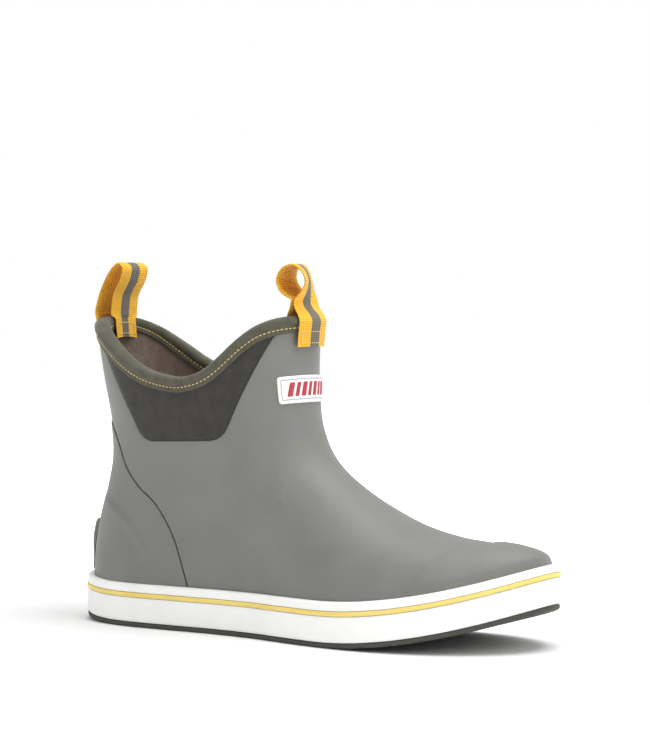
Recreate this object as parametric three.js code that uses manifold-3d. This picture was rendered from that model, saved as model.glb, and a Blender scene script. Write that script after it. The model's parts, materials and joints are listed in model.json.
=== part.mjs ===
// A right-foot rubber deck boot: +X to the toe, +Y to the inner side of the foot, +Z up.
// The origin is on the ground, under the flat part of the tread. Sizes are millimetres.
import * as THREE from 'three';
import { mergeVertices } from 'three/addons/utils/BufferGeometryUtils.js';
import Module from 'manifold-3d';

const wasm = await Module();
wasm.setup();

// ---- driving dimensions ----

const gap = 0.3;               // clearance between pieces that touch

// the foot shape, measured on the outside of the rubber upper
const heelX = -145.5;          // back of the heel
const toeX = 144.5;            // tip of the toe
const toeSpring = 22;          // how far the toe end of the tread is off the ground
const springStart = 30;        // where the tread starts to rise
const heelSpring = 2.8;        // how far the back of the heel is off the ground
const heelSpringStart = -110;
const shaftFront = 7;          // front of the shaft at the collar
const shaftMiddle = -71;
const shaftTwist = 0.14;       // the shaft's axis is turned outwards from the sole's, as a slope
const shaftHeight = 175.5;     // collar height at the front and back, under the binding
const collarDip = 34;          // how far the collar drops at the sides

// the sole unit, heights above the ground surface of the tread
const treadThickness = 5;
const treadGroove = 2.4;
const grooveWidth = 2.6;
const groovePitch = 14.5;
const grooveArm = 60;          // half the length of a chevron before the field cuts it
const grooveSweep = 0.45;      // how far a chevron's arms lean back, as a slope
const treadMargin = 6;         // plain edge round the grooved field
const landHalf = 12;           // half the length of the plain flat under the middle of the foot
const bandBottom = 3;
const bandTop = 25;
const bandThickness = 4;
const stripeHeight = 18.6;
const stripeWidth = 2.5;
const stripeDepth = 1.2;
const stripeProud = 0.3;
const midsoleTop = 15.7;
const boardThickness = 2;
const footbedThickness = 6;
const coverThickness = 0.8;
const padThickness = 2.5;
const padLength = 74;
const padMargin = 9;
const footbedClearance = 3;

// layers of the upper, from the outside in
const rubber = 1.8;
const interlay = 1.5;
const liningCloth = 1.4;

// side panels of the shaft, in the side view
const gussetTopRear = -138.5;
const gussetTopFront = 2;
const gussetBottomRear = -92;
const gussetBottomFront = -33;
const gussetBottomHeight = 106.3;
const gussetCorner = 9;

const tabHeight = 58.5;        // top of the kick tab
const tabThickness = 3;
const tabHalfWidth = 14;

// collar
const bindingThickness = 1.3;
const bindingDepth = 6.4;
const bindingRise = 1.8;
const stitchDepth = 3.8;
const threadSize = 0.5;
const threadGap = 0.2;
const tapeWidth = 14;
const tapeThickness = 0.6;

// pull loops of woven webbing
const webbingWidth = 25;
const webbingThickness = 1.5;
const tackSize = 0.5;

// badge on the front of the shaft
const labelHeight = 14;
const labelHalfWidth = 22;
const labelLevel = 11.35;      // place on the shaft, in levels of the upper
const labelThickness = 0.9;
const labelInset = 1.6;
const inkThickness = 0.4;
const borderWidth = 0.7;

// height between two levels of the upper's surface
const levelPitch = 15;         // near the collar
const lowPitch = 8;            // near the sole

// how finely the surfaces are divided
const around = 44;             // points round one level of the upper
const farSide = 100;           // beyond the boot's sides, for cutting right through
const roundSteps = 14;         // steps round a pull loop

// sizes that follow from those above
const gussetTopHeight = shaftHeight + 0.5;
const boardBottom = midsoleTop + gap;
const sockBottom = boardBottom + boardThickness + gap;
const footbedBottom = sockBottom + liningCloth + gap;
const interlayDepth = rubber + gap;
const liningDepth = interlayDepth + interlay + gap;
const footbedDepth = liningDepth + liningCloth + footbedClearance;

// ---- curves ----

// a smooth curve through (x, y) points
function through(points) {
  const last = points.length - 1;
  const slopes = points.map((point, i) => {
    const before = points[Math.max(i - 1, 0)];
    const after = points[Math.min(i + 1, last)];
    return (after[1] - before[1]) / (after[0] - before[0]);
  });
  return x => {
    let i = 0;
    while (i < last - 1 && x > points[i + 1][0]) i += 1;
    const span = points[i + 1][0] - points[i][0];
    const t = THREE.MathUtils.clamp((x - points[i][0]) / span, 0, 1);
    const a = points[i][1];
    const b = points[i + 1][1];
    const bend = (t - 1) ** 2 * t * slopes[i] * span + t * t * (t - 1) * slopes[i + 1] * span;
    return a + (b - a) * t * t * (3 - 2 * t) + bend;
  };
}

// height of the tread's ground surface along the boot
function soleRise(x) {
  const toe = Math.max((x - springStart) / (toeX + bandThickness - springStart), 0);
  const heel = Math.max((heelSpringStart - x) / (heelSpringStart - heelX + bandThickness), 0);
  return toeSpring * toe ** 2 + heelSpring * heel ** 2;
}

const heelProfile = through([
  [14, heelX], [30, heelX + 0.2], [45, heelX + 1.6], [62, heelX + 4.6], [80, heelX + 9.2],
  [97, heelX + 11.5], [117, heelX + 9], [130, heelX + 6], [157, heelX], [182, heelX - 3],
]);

// Levels of the upper, from the sole to the collar. Each level runs from the heel profile to
// the top profile and follows the sole's curve or the collar's curve by the given shares.
const levels = [
  {
    front: [toeX, boardBottom + soleRise(toeX)],
    rear: boardBottom + soleRise(heelX),
    sole: 1,
    collar: 0,
  },
  { front: [toeX - 1, 45], rear: 25, sole: 0.93, collar: 0 },
  { front: [140, 51.5], rear: 32, sole: 0.8, collar: 0 },
  { front: [127, 55.4], rear: 38, sole: 0.65, collar: 0 },
  { front: [110, 56.6], rear: 45, sole: 0.5, collar: 0 },
  { front: [90, 59], rear: 52, sole: 0.35, collar: 0 },
  { front: [68, 65], rear: 60, sole: 0.22, collar: 0 },
  { front: [47, 75.5], rear: 69, sole: 0.1, collar: 0 },
  { front: [30, 87], rear: 80, sole: 0.03, collar: 0 },
  { front: [16, 100], rear: 93, sole: 0, collar: 0.03 },
  { front: [shaftFront + 2, 115], rear: 109, sole: 0, collar: 0.2 },
  { front: [shaftFront - 1, 132], rear: 127, sole: 0, collar: 0.42 },
  { front: [shaftFront - 2, 148], rear: 145, sole: 0, collar: 0.65 },
  { front: [shaftFront - 1.5, 163], rear: 162, sole: 0, collar: 0.85 },
  { front: [shaftFront, shaftHeight], rear: shaftHeight, sole: 0, collar: 1 },
];
const collarLevel = levels.length - 1;

// the front of the upper as a distance forward at a height, and as a height at a distance forward
const frontProfile = through(levels.map(({ front: [x, z] }) => [z, x]));
const risingFront = levels.filter(({ front: [x] }, i) => i === 0 || x < levels[i - 1].front[0]);
const topProfile = through(risingFront.map(({ front: [x, z] }) => [x, z]).reverse());

const outerHalf = through([
  [-150, 33], [-100, 35.5], [-70, 35], [-40, 34.8], [-10, 37.8], [20, 45], [50, 50.5],
  [72, 51.5], [95, 49], [115, 44], [130, 38], [147, 33],
]);

const innerHalf = through([
  [-150, 33], [-100, 34.5], [-70, 32], [-40, 29.2], [-10, 30.5], [20, 36.8], [45, 45],
  [68, 49], [90, 50], [112, 47.4], [130, 41], [147, 34],
]);

const shaftHalf = through([[60, 36], [85, 37.5], [110, 39.5], [140, 43], [182, 44.5]]);

const toeShift = through([[0, 0], [40, 0], [75, 0.6], [110, 2.2], [toeX, 6]]);

// drop of the collar's edge between the back (0) and the front (1), as a share of the dip
const dipShape = through([
  [0, 0], [0.1, 0.2], [0.2, 0.47], [0.3, 0.73], [0.4, 0.9], [0.5, 0.985], [0.56, 1],
  [0.64, 0.93], [0.7, 0.8], [0.76, 0.59], [0.82, 0.36], [0.88, 0.17], [0.94, 0.06], [1, 0],
]);

// Half of the upper's width at a place in the side view, on a level that ends at a front point.
// side is 1 for the inner side of the foot.
function halfWidth(side, x, z, frontX, frontZ) {
  const shaftShare = THREE.MathUtils.smoothstep(z, 42, 112);
  const foot = side > 0 ? innerHalf(x) : outerHalf(x);
  const full = THREE.MathUtils.lerp(foot, shaftHalf(z), shaftShare);
  const toFront = Math.max(frontX - x + frontProfile(z) - frontProfile(frontZ), 0);
  const underTop = x > shaftFront - 2 && frontZ < 110;
  const toTop = underTop ? Math.max(topProfile(x) - z + frontZ - topProfile(frontX), 0) : 1000;
  const toEdge = toFront * toTop / Math.max(Math.hypot(toFront, toTop), 0.001);
  const toRear = Math.max(x - heelProfile(z), 0);
  const frontRound = THREE.MathUtils.lerp(20, 25, THREE.MathUtils.smoothstep(z, 60, 125));
  const rearRound = THREE.MathUtils.lerp(17, 24, THREE.MathUtils.smoothstep(z, 80, 160));
  return full * Math.sqrt((1 - Math.exp(-toEdge / frontRound)) * (1 - Math.exp(-toRear / rearRound)));
}

// a point of the upper's outside at a level and a turn from the back round the outer side
function outside(level, turn) {
  const low = levels[Math.min(Math.floor(level), collarLevel - 1)];
  const high = levels[Math.min(Math.floor(level), collarLevel - 1) + 1];
  const share = level - levels.indexOf(low);
  const mix = (a, b) => THREE.MathUtils.lerp(a, b, share);
  const rearZ = mix(low.rear, high.rear);
  const rearX = heelProfile(rearZ);
  const frontX = mix(low.front[0], high.front[0]);
  const frontZ = mix(low.front[1], high.front[1]);
  const along = (1 - Math.cos(turn)) / 2;
  const x = THREE.MathUtils.lerp(rearX, frontX, along);
  const soleSag = soleRise(x) - soleRise(rearX) * (1 - along) - soleRise(frontX) * along;
  const drop = collarDip * dipShape(along);
  const straight = THREE.MathUtils.lerp(rearZ, frontZ, along);
  const z = straight + mix(low.sole, high.sole) * soleSag - mix(low.collar, high.collar) * drop;
  const side = Math.sin(turn) > 0 ? -1 : 1;
  const atEnd = Math.abs(Math.sin(turn)) < 1e-6;
  const twist = shaftTwist * (shaftMiddle - x) * THREE.MathUtils.smoothstep(z, 42, 125);
  const y = toeShift(x) * along + twist + (atEnd ? 0 : side * halfWidth(side, x, z, frontX, frontZ));
  return new THREE.Vector3(x, y, z);
}

function outwardAt(level, turn) {
  const step = 0.02;
  const low = Math.max(level - 0.5, 0);
  const high = Math.min(level + 0.5, collarLevel);
  const up = outside(high, turn).sub(outside(low, turn));
  const round = outside(level, turn + step).sub(outside(level, turn - step));
  return round.cross(up).normalize();
}

// the same point, moved out of the surface by a distance; the lowest level stays on the sole
function shifted(level, turn, distance) {
  const outward = outwardAt(level, turn);
  if (level === 0) outward.setZ(0).normalize();
  const point = outside(level, turn).addScaledVector(outward, distance);
  if (level === 0) point.z = soleRise(point.x) + boardBottom;
  return point;
}

const turnAt = i => (i / around) * Math.PI * 2;

// ---- solids ----

const toArrays = geometry => {
  const plain = geometry.clone();
  plain.deleteAttribute('normal');
  plain.deleteAttribute('uv');
  return mergeVertices(plain, 1e-4);
};

function toManifold(geometry) {
  const merged = toArrays(geometry);
  return new wasm.Manifold(new wasm.Mesh({
    numProp: 3,
    vertProperties: new Float32Array(merged.attributes.position.array),
    triVerts: new Uint32Array(merged.index.array),
  }));
}

function toGeometry(solid) {
  const mesh = solid.getMesh();
  const geometry = new THREE.BufferGeometry();
  geometry.setAttribute('position', new THREE.BufferAttribute(new Float32Array(mesh.vertProperties), 3));
  geometry.setIndex(new THREE.BufferAttribute(new Uint32Array(mesh.triVerts), 1));
  return geometry;
}

// A closed solid from rows of points. Every row is a closed ring with as many points as the
// others. The rows close on themselves, or the first and last are filled across.
function fromRings(rings, { closed = false, turnRow = rings.length } = {}) {
  const count = rings[0].length;
  const positions = rings.flat().flatMap(point => point.toArray());
  const faces = [];
  joinRows(faces, rings.length, count, closed, turnRow);
  if (!closed) {
    fillAcross(faces, 0, count, false);
    fillAcross(faces, (rings.length - 1) * count, count, true);
  }
  return facingOut(positions, faces);
}

// faces between each row of points and the next; from turnRow on, squares are cut the other way
function joinRows(faces, rowCount, count, closed, turnRow = rowCount) {
  for (let row = 0; row < (closed ? rowCount : rowCount - 1); row += 1) {
    for (let i = 0; i < count; i += 1) {
      const next = (i + 1) % count;
      const a = row * count + i;
      const b = row * count + next;
      const c = ((row + 1) % rowCount) * count + next;
      const d = ((row + 1) % rowCount) * count + i;
      faces.push(...(row < turnRow ? [a, b, c, a, c, d] : [a, b, d, b, c, d]));
    }
  }
}

// a geometry whose faces point outwards, whichever way its rings were drawn
function facingOut(positions, faces) {
  const corner = i => new THREE.Vector3().fromArray(positions, faces[i] * 3);
  let volume = 0;
  for (let i = 0; i < faces.length; i += 3) {
    volume += corner(i).dot(corner(i + 1).cross(corner(i + 2)));
  }
  const geometry = new THREE.BufferGeometry();
  geometry.setAttribute('position', new THREE.Float32BufferAttribute(positions, 3));
  geometry.setIndex(volume < 0 ? [...faces].reverse() : faces);
  return geometry;
}

// fills a ring with strips that join its two sides
function fillAcross(faces, start, count, facesUp) {
  for (let i = 0; i < count / 2; i += 1) {
    const a = start + i;
    const b = start + i + 1;
    const c = start + ((count - i - 1) % count);
    const d = start + ((count - i) % count);
    const strip = [];
    if (i > 0) strip.push(a, b, d);
    if (b !== c) strip.push(b, c, d);
    faces.push(...(facesUp ? strip : strip.reverse()));
  }
}

const ring = pointAt => Array.from({ length: around }, (unused, i) => pointAt(turnAt(i)));

// a wall of the upper between two depths under its outside, open at the top and the bottom
function wall(outDepth, inDepth) {
  const outer = levels.map((level, i) => ring(turn => shifted(i, turn, -outDepth)));
  const inner = levels.map((level, i) => ring(turn => shifted(i, turn, -inDepth)));
  return fromRings([...outer, ...inner.reverse()], { closed: true, turnRow: levels.length });
}

// the outline of a layer of the upper where it meets a height above the sole
function layerOutline(depth, height) {
  const level = Math.max((height - boardBottom) / lowPitch, 0);
  return ring(turn => {
    const point = shifted(level, turn, -depth);
    point.z = soleRise(point.x) + height;
    return point;
  });
}

// the same wall with a floor of the given thickness, as a sock
function sock(outDepth, inDepth, floorThickness) {
  const outer = levels.map((level, i) => ring(turn => shifted(i, turn, -outDepth)));
  const inner = levels.map((level, i) => ring(turn => shifted(i, turn, -inDepth)));
  outer[0] = layerOutline(outDepth, sockBottom);
  inner[0] = layerOutline(inDepth, sockBottom + floorThickness);
  return fromRings([...outer, ...inner.reverse()], { turnRow: levels.length });
}

// a plate that follows the sole, as wide as the upper less a depth
const solePlate = (depth, low, high) => fromRings([layerOutline(depth, low), layerOutline(depth, high)]);

// A ring round the sole whose section is a list of [distance out of the upper, height, level].
// The level of the upper that the distance is from is 0 where it isn't given.
function soleRing(section) {
  const rings = section.map(([out, height, level = 0]) => ring(turn => {
    const point = outside(level, turn);
    const outward = outwardAt(level, turn);
    outward.z = 0;
    point.addScaledVector(outward.normalize(), out);
    point.z = soleRise(point.x) + height;
    return point;
  }));
  return fromRings(rings, { closed: true });
}

// a prism across the boot from an outline drawn in the side view
function sidePrism(shape, fromY, toY) {
  const geometry = new THREE.ExtrudeGeometry(shape, { depth: toY - fromY, bevelEnabled: false });
  geometry.rotateX(Math.PI / 2);
  geometry.translate(0, toY, 0);
  return toManifold(geometry);
}

// ---- sole unit ----

// one chevron groove, cut up into the tread
function grooveCutter(x) {
  const arm = grooveArm;
  const sweep = grooveSweep;
  const half = grooveWidth / 2;
  const shape = new THREE.Shape();
  shape.moveTo(half, 0);
  shape.lineTo(half - arm * sweep, arm);
  shape.lineTo(-half - arm * sweep, arm);
  shape.lineTo(-half, 0);
  shape.lineTo(-half - arm * sweep, -arm);
  shape.lineTo(half - arm * sweep, -arm);
  shape.closePath();
  const depth = 8;
  const geometry = new THREE.ExtrudeGeometry(shape, { depth, bevelEnabled: false });
  geometry.translate(arm * sweep * 0.3, 0, treadGroove - depth);
  const slope = (soleRise(x + 6) - soleRise(x - 6)) / 12;
  geometry.rotateY(-Math.atan(slope));
  geometry.translate(x, 0, soleRise(x));
  return toManifold(geometry);
}

function outsole() {
  let solid = toManifold(solePlate(-bandThickness, 0, bandBottom - gap));
  const core = toManifold(solePlate(gap, bandBottom - 1, treadThickness));
  solid = solid.add(core);
  const field = toManifold(solePlate(treadMargin - bandThickness, -treadThickness, treadThickness));
  for (let x = heelX + groovePitch; x < toeX - treadMargin; x += groovePitch) {
    const onLand = Math.abs(x) < landHalf;
    if (!onLand) solid = solid.subtract(grooveCutter(x).intersect(field));
  }
  return toGeometry(solid);
}

function foxingBand() {
  const lower = stripeHeight - stripeWidth / 2 - gap;
  const upper = stripeHeight + stripeWidth / 2 + gap;
  const face = bandThickness;
  return soleRing([
    [gap, bandBottom], [face - 0.6, bandBottom], [face, bandBottom + 1.5], [face, lower],
    [face - stripeDepth, lower], [face - stripeDepth, upper], [face, upper],
    [face - 0.3, bandTop - 1.2], [face - 1.2, bandTop], [gap, bandTop, 1], [gap, boardBottom],
  ]);
}

function foxingStripe() {
  const inner = bandThickness - stripeDepth + gap;
  const outer = bandThickness + stripeProud;
  const low = stripeHeight - stripeWidth / 2;
  const high = stripeHeight + stripeWidth / 2;
  return soleRing([[inner, high], [outer, high], [outer, low], [inner, low]]);
}

const midsole = () => solePlate(gap, treadThickness + gap, midsoleTop);
const insoleBoard = () => solePlate(liningDepth + gap, boardBottom, boardBottom + boardThickness);

// ---- footbed ----

// the heel end of a plate, up to a distance forward
function heelPart(plate, toX) {
  const box = new THREE.Shape([
    new THREE.Vector2(heelX - 20, -20),
    new THREE.Vector2(toX, -20),
    new THREE.Vector2(toX, 60),
    new THREE.Vector2(heelX - 20, 60),
  ]);
  return toManifold(plate).intersect(sidePrism(box, -farSide, farSide));
}

const padEnd = heelX + footbedDepth + padMargin + padLength;

function footbedFoam() {
  const body = toManifold(solePlate(footbedDepth, footbedBottom, footbedBottom + footbedThickness));
  const pocketTop = footbedBottom + padThickness + gap;
  const pocket = solePlate(footbedDepth + padMargin, footbedBottom - 1, pocketTop);
  return toGeometry(body.subtract(heelPart(pocket, padEnd + gap)));
}

function footbedHeelPad() {
  const plate = solePlate(footbedDepth + padMargin + gap, footbedBottom, footbedBottom + padThickness);
  return toGeometry(heelPart(plate, padEnd));
}

function footbedCover() {
  const low = footbedBottom + footbedThickness + gap;
  return solePlate(footbedDepth, low, low + coverThickness);
}

// ---- upper ----

// the outline of a side panel, shrunk by a distance
function gussetShape(shrink) {
  const corners = [
    new THREE.Vector2(gussetTopRear, gussetTopHeight),
    new THREE.Vector2(gussetBottomRear, gussetBottomHeight),
    new THREE.Vector2(gussetBottomFront, gussetBottomHeight + 2.5),
    new THREE.Vector2(gussetTopFront, gussetTopHeight),
  ];
  const inset = [];
  const sides = corners.slice(1).map((corner, i) => {
    const direction = corner.clone().sub(corners[i]).normalize();
    const inward = new THREE.Vector2(-direction.y, direction.x).multiplyScalar(shrink);
    return { from: corners[i].clone().add(inward), to: corner.clone().add(inward), direction };
  });
  inset.push(sides[0].from);
  for (let i = 0; i < 2; i += 1) {
    const meet = crossing(sides[i], sides[i + 1]);
    const start = meet.clone().addScaledVector(sides[i].direction, -gussetCorner);
    const end = meet.clone().addScaledVector(sides[i + 1].direction, gussetCorner);
    const bend = new THREE.QuadraticBezierCurve(start, meet, end);
    inset.push(...bend.getPoints(4));
  }
  inset.push(sides[2].to);
  return new THREE.Shape(inset);
}

function crossing(first, second) {
  const across = second.from.clone().sub(first.from);
  const scale = first.direction.cross(second.direction);
  const reach = across.cross(second.direction) / scale;
  return first.from.clone().addScaledVector(first.direction, reach);
}

// the outline of the piece over the back of the heel, grown by a distance
function heelShape(grow) {
  const edge = new THREE.SplineCurve([
    new THREE.Vector2(-150, 119 + grow),
    new THREE.Vector2(-128 + grow, 116 + grow),
    new THREE.Vector2(-117 + grow, 106),
    new THREE.Vector2(-107.5 + grow, 91.5),
    new THREE.Vector2(-96 + grow, 80),
    new THREE.Vector2(-83.5 + grow, 71),
    new THREE.Vector2(-72 + grow, 55),
    new THREE.Vector2(-65 + grow, 37),
    new THREE.Vector2(-60 + grow, 20),
    new THREE.Vector2(-58 + grow, 5),
  ]);
  const points = edge.getPoints(14);
  points.push(new THREE.Vector2(-180, 5));
  points.push(new THREE.Vector2(-180, 119 + grow));
  return new THREE.Shape(points.reverse());
}

const rubberWall = toManifold(wall(0, rubber));
const interlayWall = toManifold(wall(interlayDepth, interlayDepth + interlay));
const gussetWall = toManifold(wall(0, interlayDepth + interlay));
const windowThrough = sidePrism(gussetShape(0), -farSide, farSide);

function upperShell() {
  const heelCut = sidePrism(heelShape(gap), -farSide, farSide);
  return toGeometry(rubberWall.subtract(windowThrough).subtract(heelCut));
}

function heelPanel() {
  const keep = sidePrism(heelShape(0), -farSide, farSide);
  return toGeometry(rubberWall.subtract(windowThrough).intersect(keep));
}

// everything to one side of the shaft's own centre line, which is turned from the sole's
function besideShaft(side) {
  const block = new THREE.BoxGeometry(4 * farSide, farSide, 2 * farSide);
  block.translate(0, (side * farSide) / 2, 0);
  block.rotateZ(-Math.atan(shaftTwist));
  block.translate(shaftMiddle, 0, shaftHeight);
  return toManifold(block);
}

function gusset(side) {
  const panel = sidePrism(gussetShape(gap), -farSide, farSide);
  return toGeometry(gussetWall.intersect(panel).intersect(besideShaft(side)));
}

// the stiffener zones, in the side view
const toeZone = grow => new THREE.Shape([
  new THREE.Vector2(99 - grow, 0),
  new THREE.Vector2(180, 0),
  new THREE.Vector2(180, 100),
  new THREE.Vector2(76 - grow, 100),
  new THREE.Vector2(84 - grow, 50),
]);

function counterZone(grow) {
  const edge = new THREE.EllipseCurve(-150, 20, 62 + grow, 56 + grow, 0, Math.PI / 2);
  const points = edge.getPoints(10);
  points.unshift(new THREE.Vector2(-88 + grow, 5));
  points.push(new THREE.Vector2(-180, 76 + grow));
  points.push(new THREE.Vector2(-180, 5));
  return new THREE.Shape(points);
}

const zonePrism = shape => sidePrism(shape, -farSide, farSide);
const toePuff = () => toGeometry(interlayWall.intersect(zonePrism(toeZone(0))));
const heelCounter = () => toGeometry(interlayWall.intersect(zonePrism(counterZone(0))));

function foamInterlay() {
  const cuts = [windowThrough, zonePrism(toeZone(gap)), zonePrism(counterZone(gap))];
  return toGeometry(cuts.reduce((solid, cut) => solid.subtract(cut), interlayWall));
}

const lining = () => sock(liningDepth, liningDepth + liningCloth, liningCloth);

function heelKickTab() {
  const outer = toManifold(wall(-gap - tabThickness, -gap));
  const taper = new THREE.Shape([
    new THREE.Vector2(-170, bandTop + heelSpring + 2),
    new THREE.Vector2(-100, bandTop + heelSpring + 2),
    new THREE.Vector2(-100, tabHeight),
    new THREE.Vector2(-170, tabHeight),
  ]);
  return toGeometry(outer.intersect(sidePrism(taper, -tabHalfWidth, tabHalfWidth)));
}

const liningFace = liningDepth + liningCloth;

// A thin sheet of even thickness from rows of points on its middle surface.
function sheet(grid, thickness) {
  const columns = grid[0].length;
  const rings = grid.map((row, r) => {
    const before = grid[Math.max(r - 1, 0)];
    const after = grid[Math.min(r + 1, grid.length - 1)];
    const front = [];
    const back = [];
    row.forEach((point, c) => {
      const across = row[Math.min(c + 1, columns - 1)].clone().sub(row[Math.max(c - 1, 0)]);
      const along = after[c].clone().sub(before[c]);
      const out = across.cross(along).setLength(thickness / 2);
      front.push(point.clone().add(out));
      back.unshift(point.clone().sub(out));
    });
    return [...front, ...back];
  });
  return fromStrips(rings);
}

// closes a stack of strip rings, each running along its front and then back along its rear
function fromStrips(rings) {
  const count = rings[0].length;
  const faces = [];
  joinRows(faces, rings.length, count, false);
  fillStrip(faces, 0, count, false);
  fillStrip(faces, (rings.length - 1) * count, count, true);
  return facingOut(rings.flat().flatMap(point => point.toArray()), faces);
}

function fillStrip(faces, start, count, facesUp) {
  for (let i = 0; i < count / 2 - 1; i += 1) {
    const a = start + i;
    const b = start + i + 1;
    const c = start + count - 2 - i;
    const d = start + count - 1 - i;
    faces.push(...(facesUp ? [a, b, c, a, c, d] : [c, b, a, d, c, a]));
  }
}

// turns evenly spread over a width of the wall, about a middle turn
function turnsAcross(level, middle, width, count) {
  const centre = outside(level, middle);
  const reach = direction => {
    let turn = middle;
    while (outside(level, turn).distanceTo(centre) < width / 2) turn += direction * 0.004;
    return turn;
  };
  const first = reach(-1);
  const last = reach(1);
  return Array.from({ length: count }, (unused, i) => THREE.MathUtils.lerp(first, last, i / (count - 1)));
}

// rows of points on the wall between two levels, at a distance out of it
function wallGrid(lowLevel, highLevel, turns, out, rows) {
  return Array.from({ length: rows + 1 }, (unused, row) => {
    const level = THREE.MathUtils.lerp(lowLevel, highLevel, row / rows);
    return turns.map(turn => shifted(level, turn, out));
  });
}

const front = Math.PI;
const rear = 0;

function backSeamTape() {
  const turns = turnsAcross(8, rear, tapeWidth, 3);
  const out = -(liningFace + 2 * gap + tapeThickness / 2);
  return sheet(wallGrid(3, collarLevel - 1.4, turns, out, 10), tapeThickness);
}

// ---- collar ----

// a ring round the collar's edge whose section is a list of [out of the wall, above the edge]
function collarRing(section) {
  const rings = section.map(([out, up]) => ring(turn => {
    const base = outside(collarLevel, turn);
    const outward = outwardAt(collarLevel, turn);
    const ahead = outside(collarLevel, turn + 0.02).sub(outside(collarLevel, turn - 0.02)).normalize();
    const above = outward.clone().cross(ahead).normalize();
    return base.addScaledVector(outward, out).addScaledVector(above, up);
  }));
  return fromRings(rings, { closed: true });
}

function collarBinding() {
  const outer = gap + bindingThickness;
  const face = -liningFace - 1.5 * gap;
  const inner = face - bindingThickness;
  return collarRing([
    [gap, -bindingDepth], [gap, gap], [face, gap], [face, -bindingDepth],
    [inner, -bindingDepth], [inner, 0], [inner + 1.4, bindingRise - 0.4], [-liningFace / 2, bindingRise],
    [outer - 1.4, bindingRise - 0.4], [outer, 0], [outer, -bindingDepth],
  ]);
}

function collarThread(out) {
  const half = threadSize / 2;
  return collarRing([
    [out - half, -stitchDepth - half], [out - half, -stitchDepth + half],
    [out + half, -stitchDepth + half], [out + half, -stitchDepth - half],
  ]);
}

const threadOut = gap + bindingThickness + threadGap + threadSize / 2;
const threadIn = -liningFace - 0.5 * gap - threadOut;

// ---- pull loops ----

const strapOut = threadOut + threadSize / 2 + threadGap + webbingThickness / 2;
const strapIn = -liningFace - 0.5 * gap - strapOut;
const acrossStrap = 5;

// Each loop stands on the collar at the front or the back. lean is how far its sewn ends bend
// inwards over the edge, and shape is the free loop's centre line from its outer to its inner end,
// as [inwards, up] from the top of its ends, with the strap's turn about the vertical. breakSpace
// is the room between the ends and the loop, where the webbing bends.
const frontLoop = {
  turn: front,
  outerEnd: 17,
  innerEnd: 12,
  pinchRise: 9,
  spread: 2 * gap + webbingThickness,
  breakSpace: 2.4,
  lean: 2,
  shape: [
    [0, 0, 0.05], [-1.5, 4.8, 0.3], [-2, 10, 0.42], [0, 15.4, 0.4], [4.5, 18.7, 0.3],
    [10, 16.8, 0.2], [12.5, 11, 0.1], [9, 4.2, 0], [0, 0, 0],
  ],
};

const rearLoop = {
  turn: rear,
  outerEnd: 14,
  innerEnd: 13,
  pinchRise: 2.6,
  spread: liningFace + 2 * strapOut,
  breakSpace: 3,
  lean: 0.5,
  shape: [
    [0, 0, 0], [1, 8.5, 0], [3.5, 17, 0], [7, 23.7, 0], [11, 27.1, 0], [15, 24.7, 0],
    [15, 18, 0], [11.5, 8.5, 0], [0, 0, 0],
  ],
};

// the frame of a loop at the collar: its place, the way in over the edge, and the way across
function loopSeat(loop) {
  const edge = outside(collarLevel, loop.turn);
  const inward = outwardAt(collarLevel, loop.turn).negate();
  inward.z = 0;
  inward.normalize();
  const across = new THREE.Vector3(0, 0, 1).cross(inward);
  const middle = edge.addScaledVector(inward, liningFace / 2);
  const place = (inwards, up, sideways = 0, turned = 0) => middle.clone()
    .addScaledVector(inward, inwards - sideways * Math.sin(turned))
    .addScaledVector(across, sideways * Math.cos(turned))
    .add(new THREE.Vector3(0, 0, up));
  return { middle, across, place };
}

const sideways = i => (i / (acrossStrap - 1) - 0.5) * webbingWidth;
const columns = Array.from({ length: acrossStrap }, (unused, i) => i);

// one sewn end of a loop: up the wall from its cut edge, then free of the wall to the loop
function sewnEnd(loop, outer) {
  const seat = loopSeat(loop);
  const out = outer ? strapOut : strapIn;
  const drop = outer ? loop.outerEnd : loop.innerEnd;
  const lowLevel = collarLevel - drop / levelPitch;
  const turns = turnsAcross(collarLevel, loop.turn, webbingWidth, acrossStrap);
  const onWall = wallGrid(lowLevel, collarLevel, turns, out, 4);
  const sign = outer ? -1 : 1;
  const top = columns.map(i => seat.place(loop.lean + sign * loop.spread / 2, loop.pinchRise, -sideways(i)));
  const lastRow = onWall[onWall.length - 1];
  const rise = [0.35, 0.7, 1].map(share => lastRow.map((point, i) => {
    const eased = THREE.MathUtils.smoothstep(share, 0, 1);
    const mixed = point.clone().lerp(top[i], eased);
    mixed.z = THREE.MathUtils.lerp(point.z, top[i].z, share);
    return mixed;
  }));
  return sheet([...onWall, ...rise], webbingThickness);
}

// the free loop above its sewn ends
function freeLoop(loop) {
  const seat = loopSeat(loop);
  const last = loop.shape.length - 1;
  const spots = loop.shape.map(([inwards, up], i) => {
    const ends = { 0: -loop.spread / 2, [last]: loop.spread / 2 };
    const base = i in ends ? ends[i] : inwards - (loop.spread / 2) * (1 - up / 30);
    return new THREE.Vector3(loop.lean + base, loop.pinchRise + loop.breakSpace + up, 0);
  });
  const line = new THREE.CatmullRomCurve3(spots, false, 'centripetal');
  const turning = through(loop.shape.map((point, i) => [i / last, point[2]]));
  const grid = Array.from({ length: roundSteps + 1 }, (unused, i) => {
    const at = line.getPoint(i / roundSteps);
    return columns.map(c => seat.place(at.x, at.y, -sideways(c), turning(i / roundSteps)));
  });
  return sheet(grid, webbingThickness);
}

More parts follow.
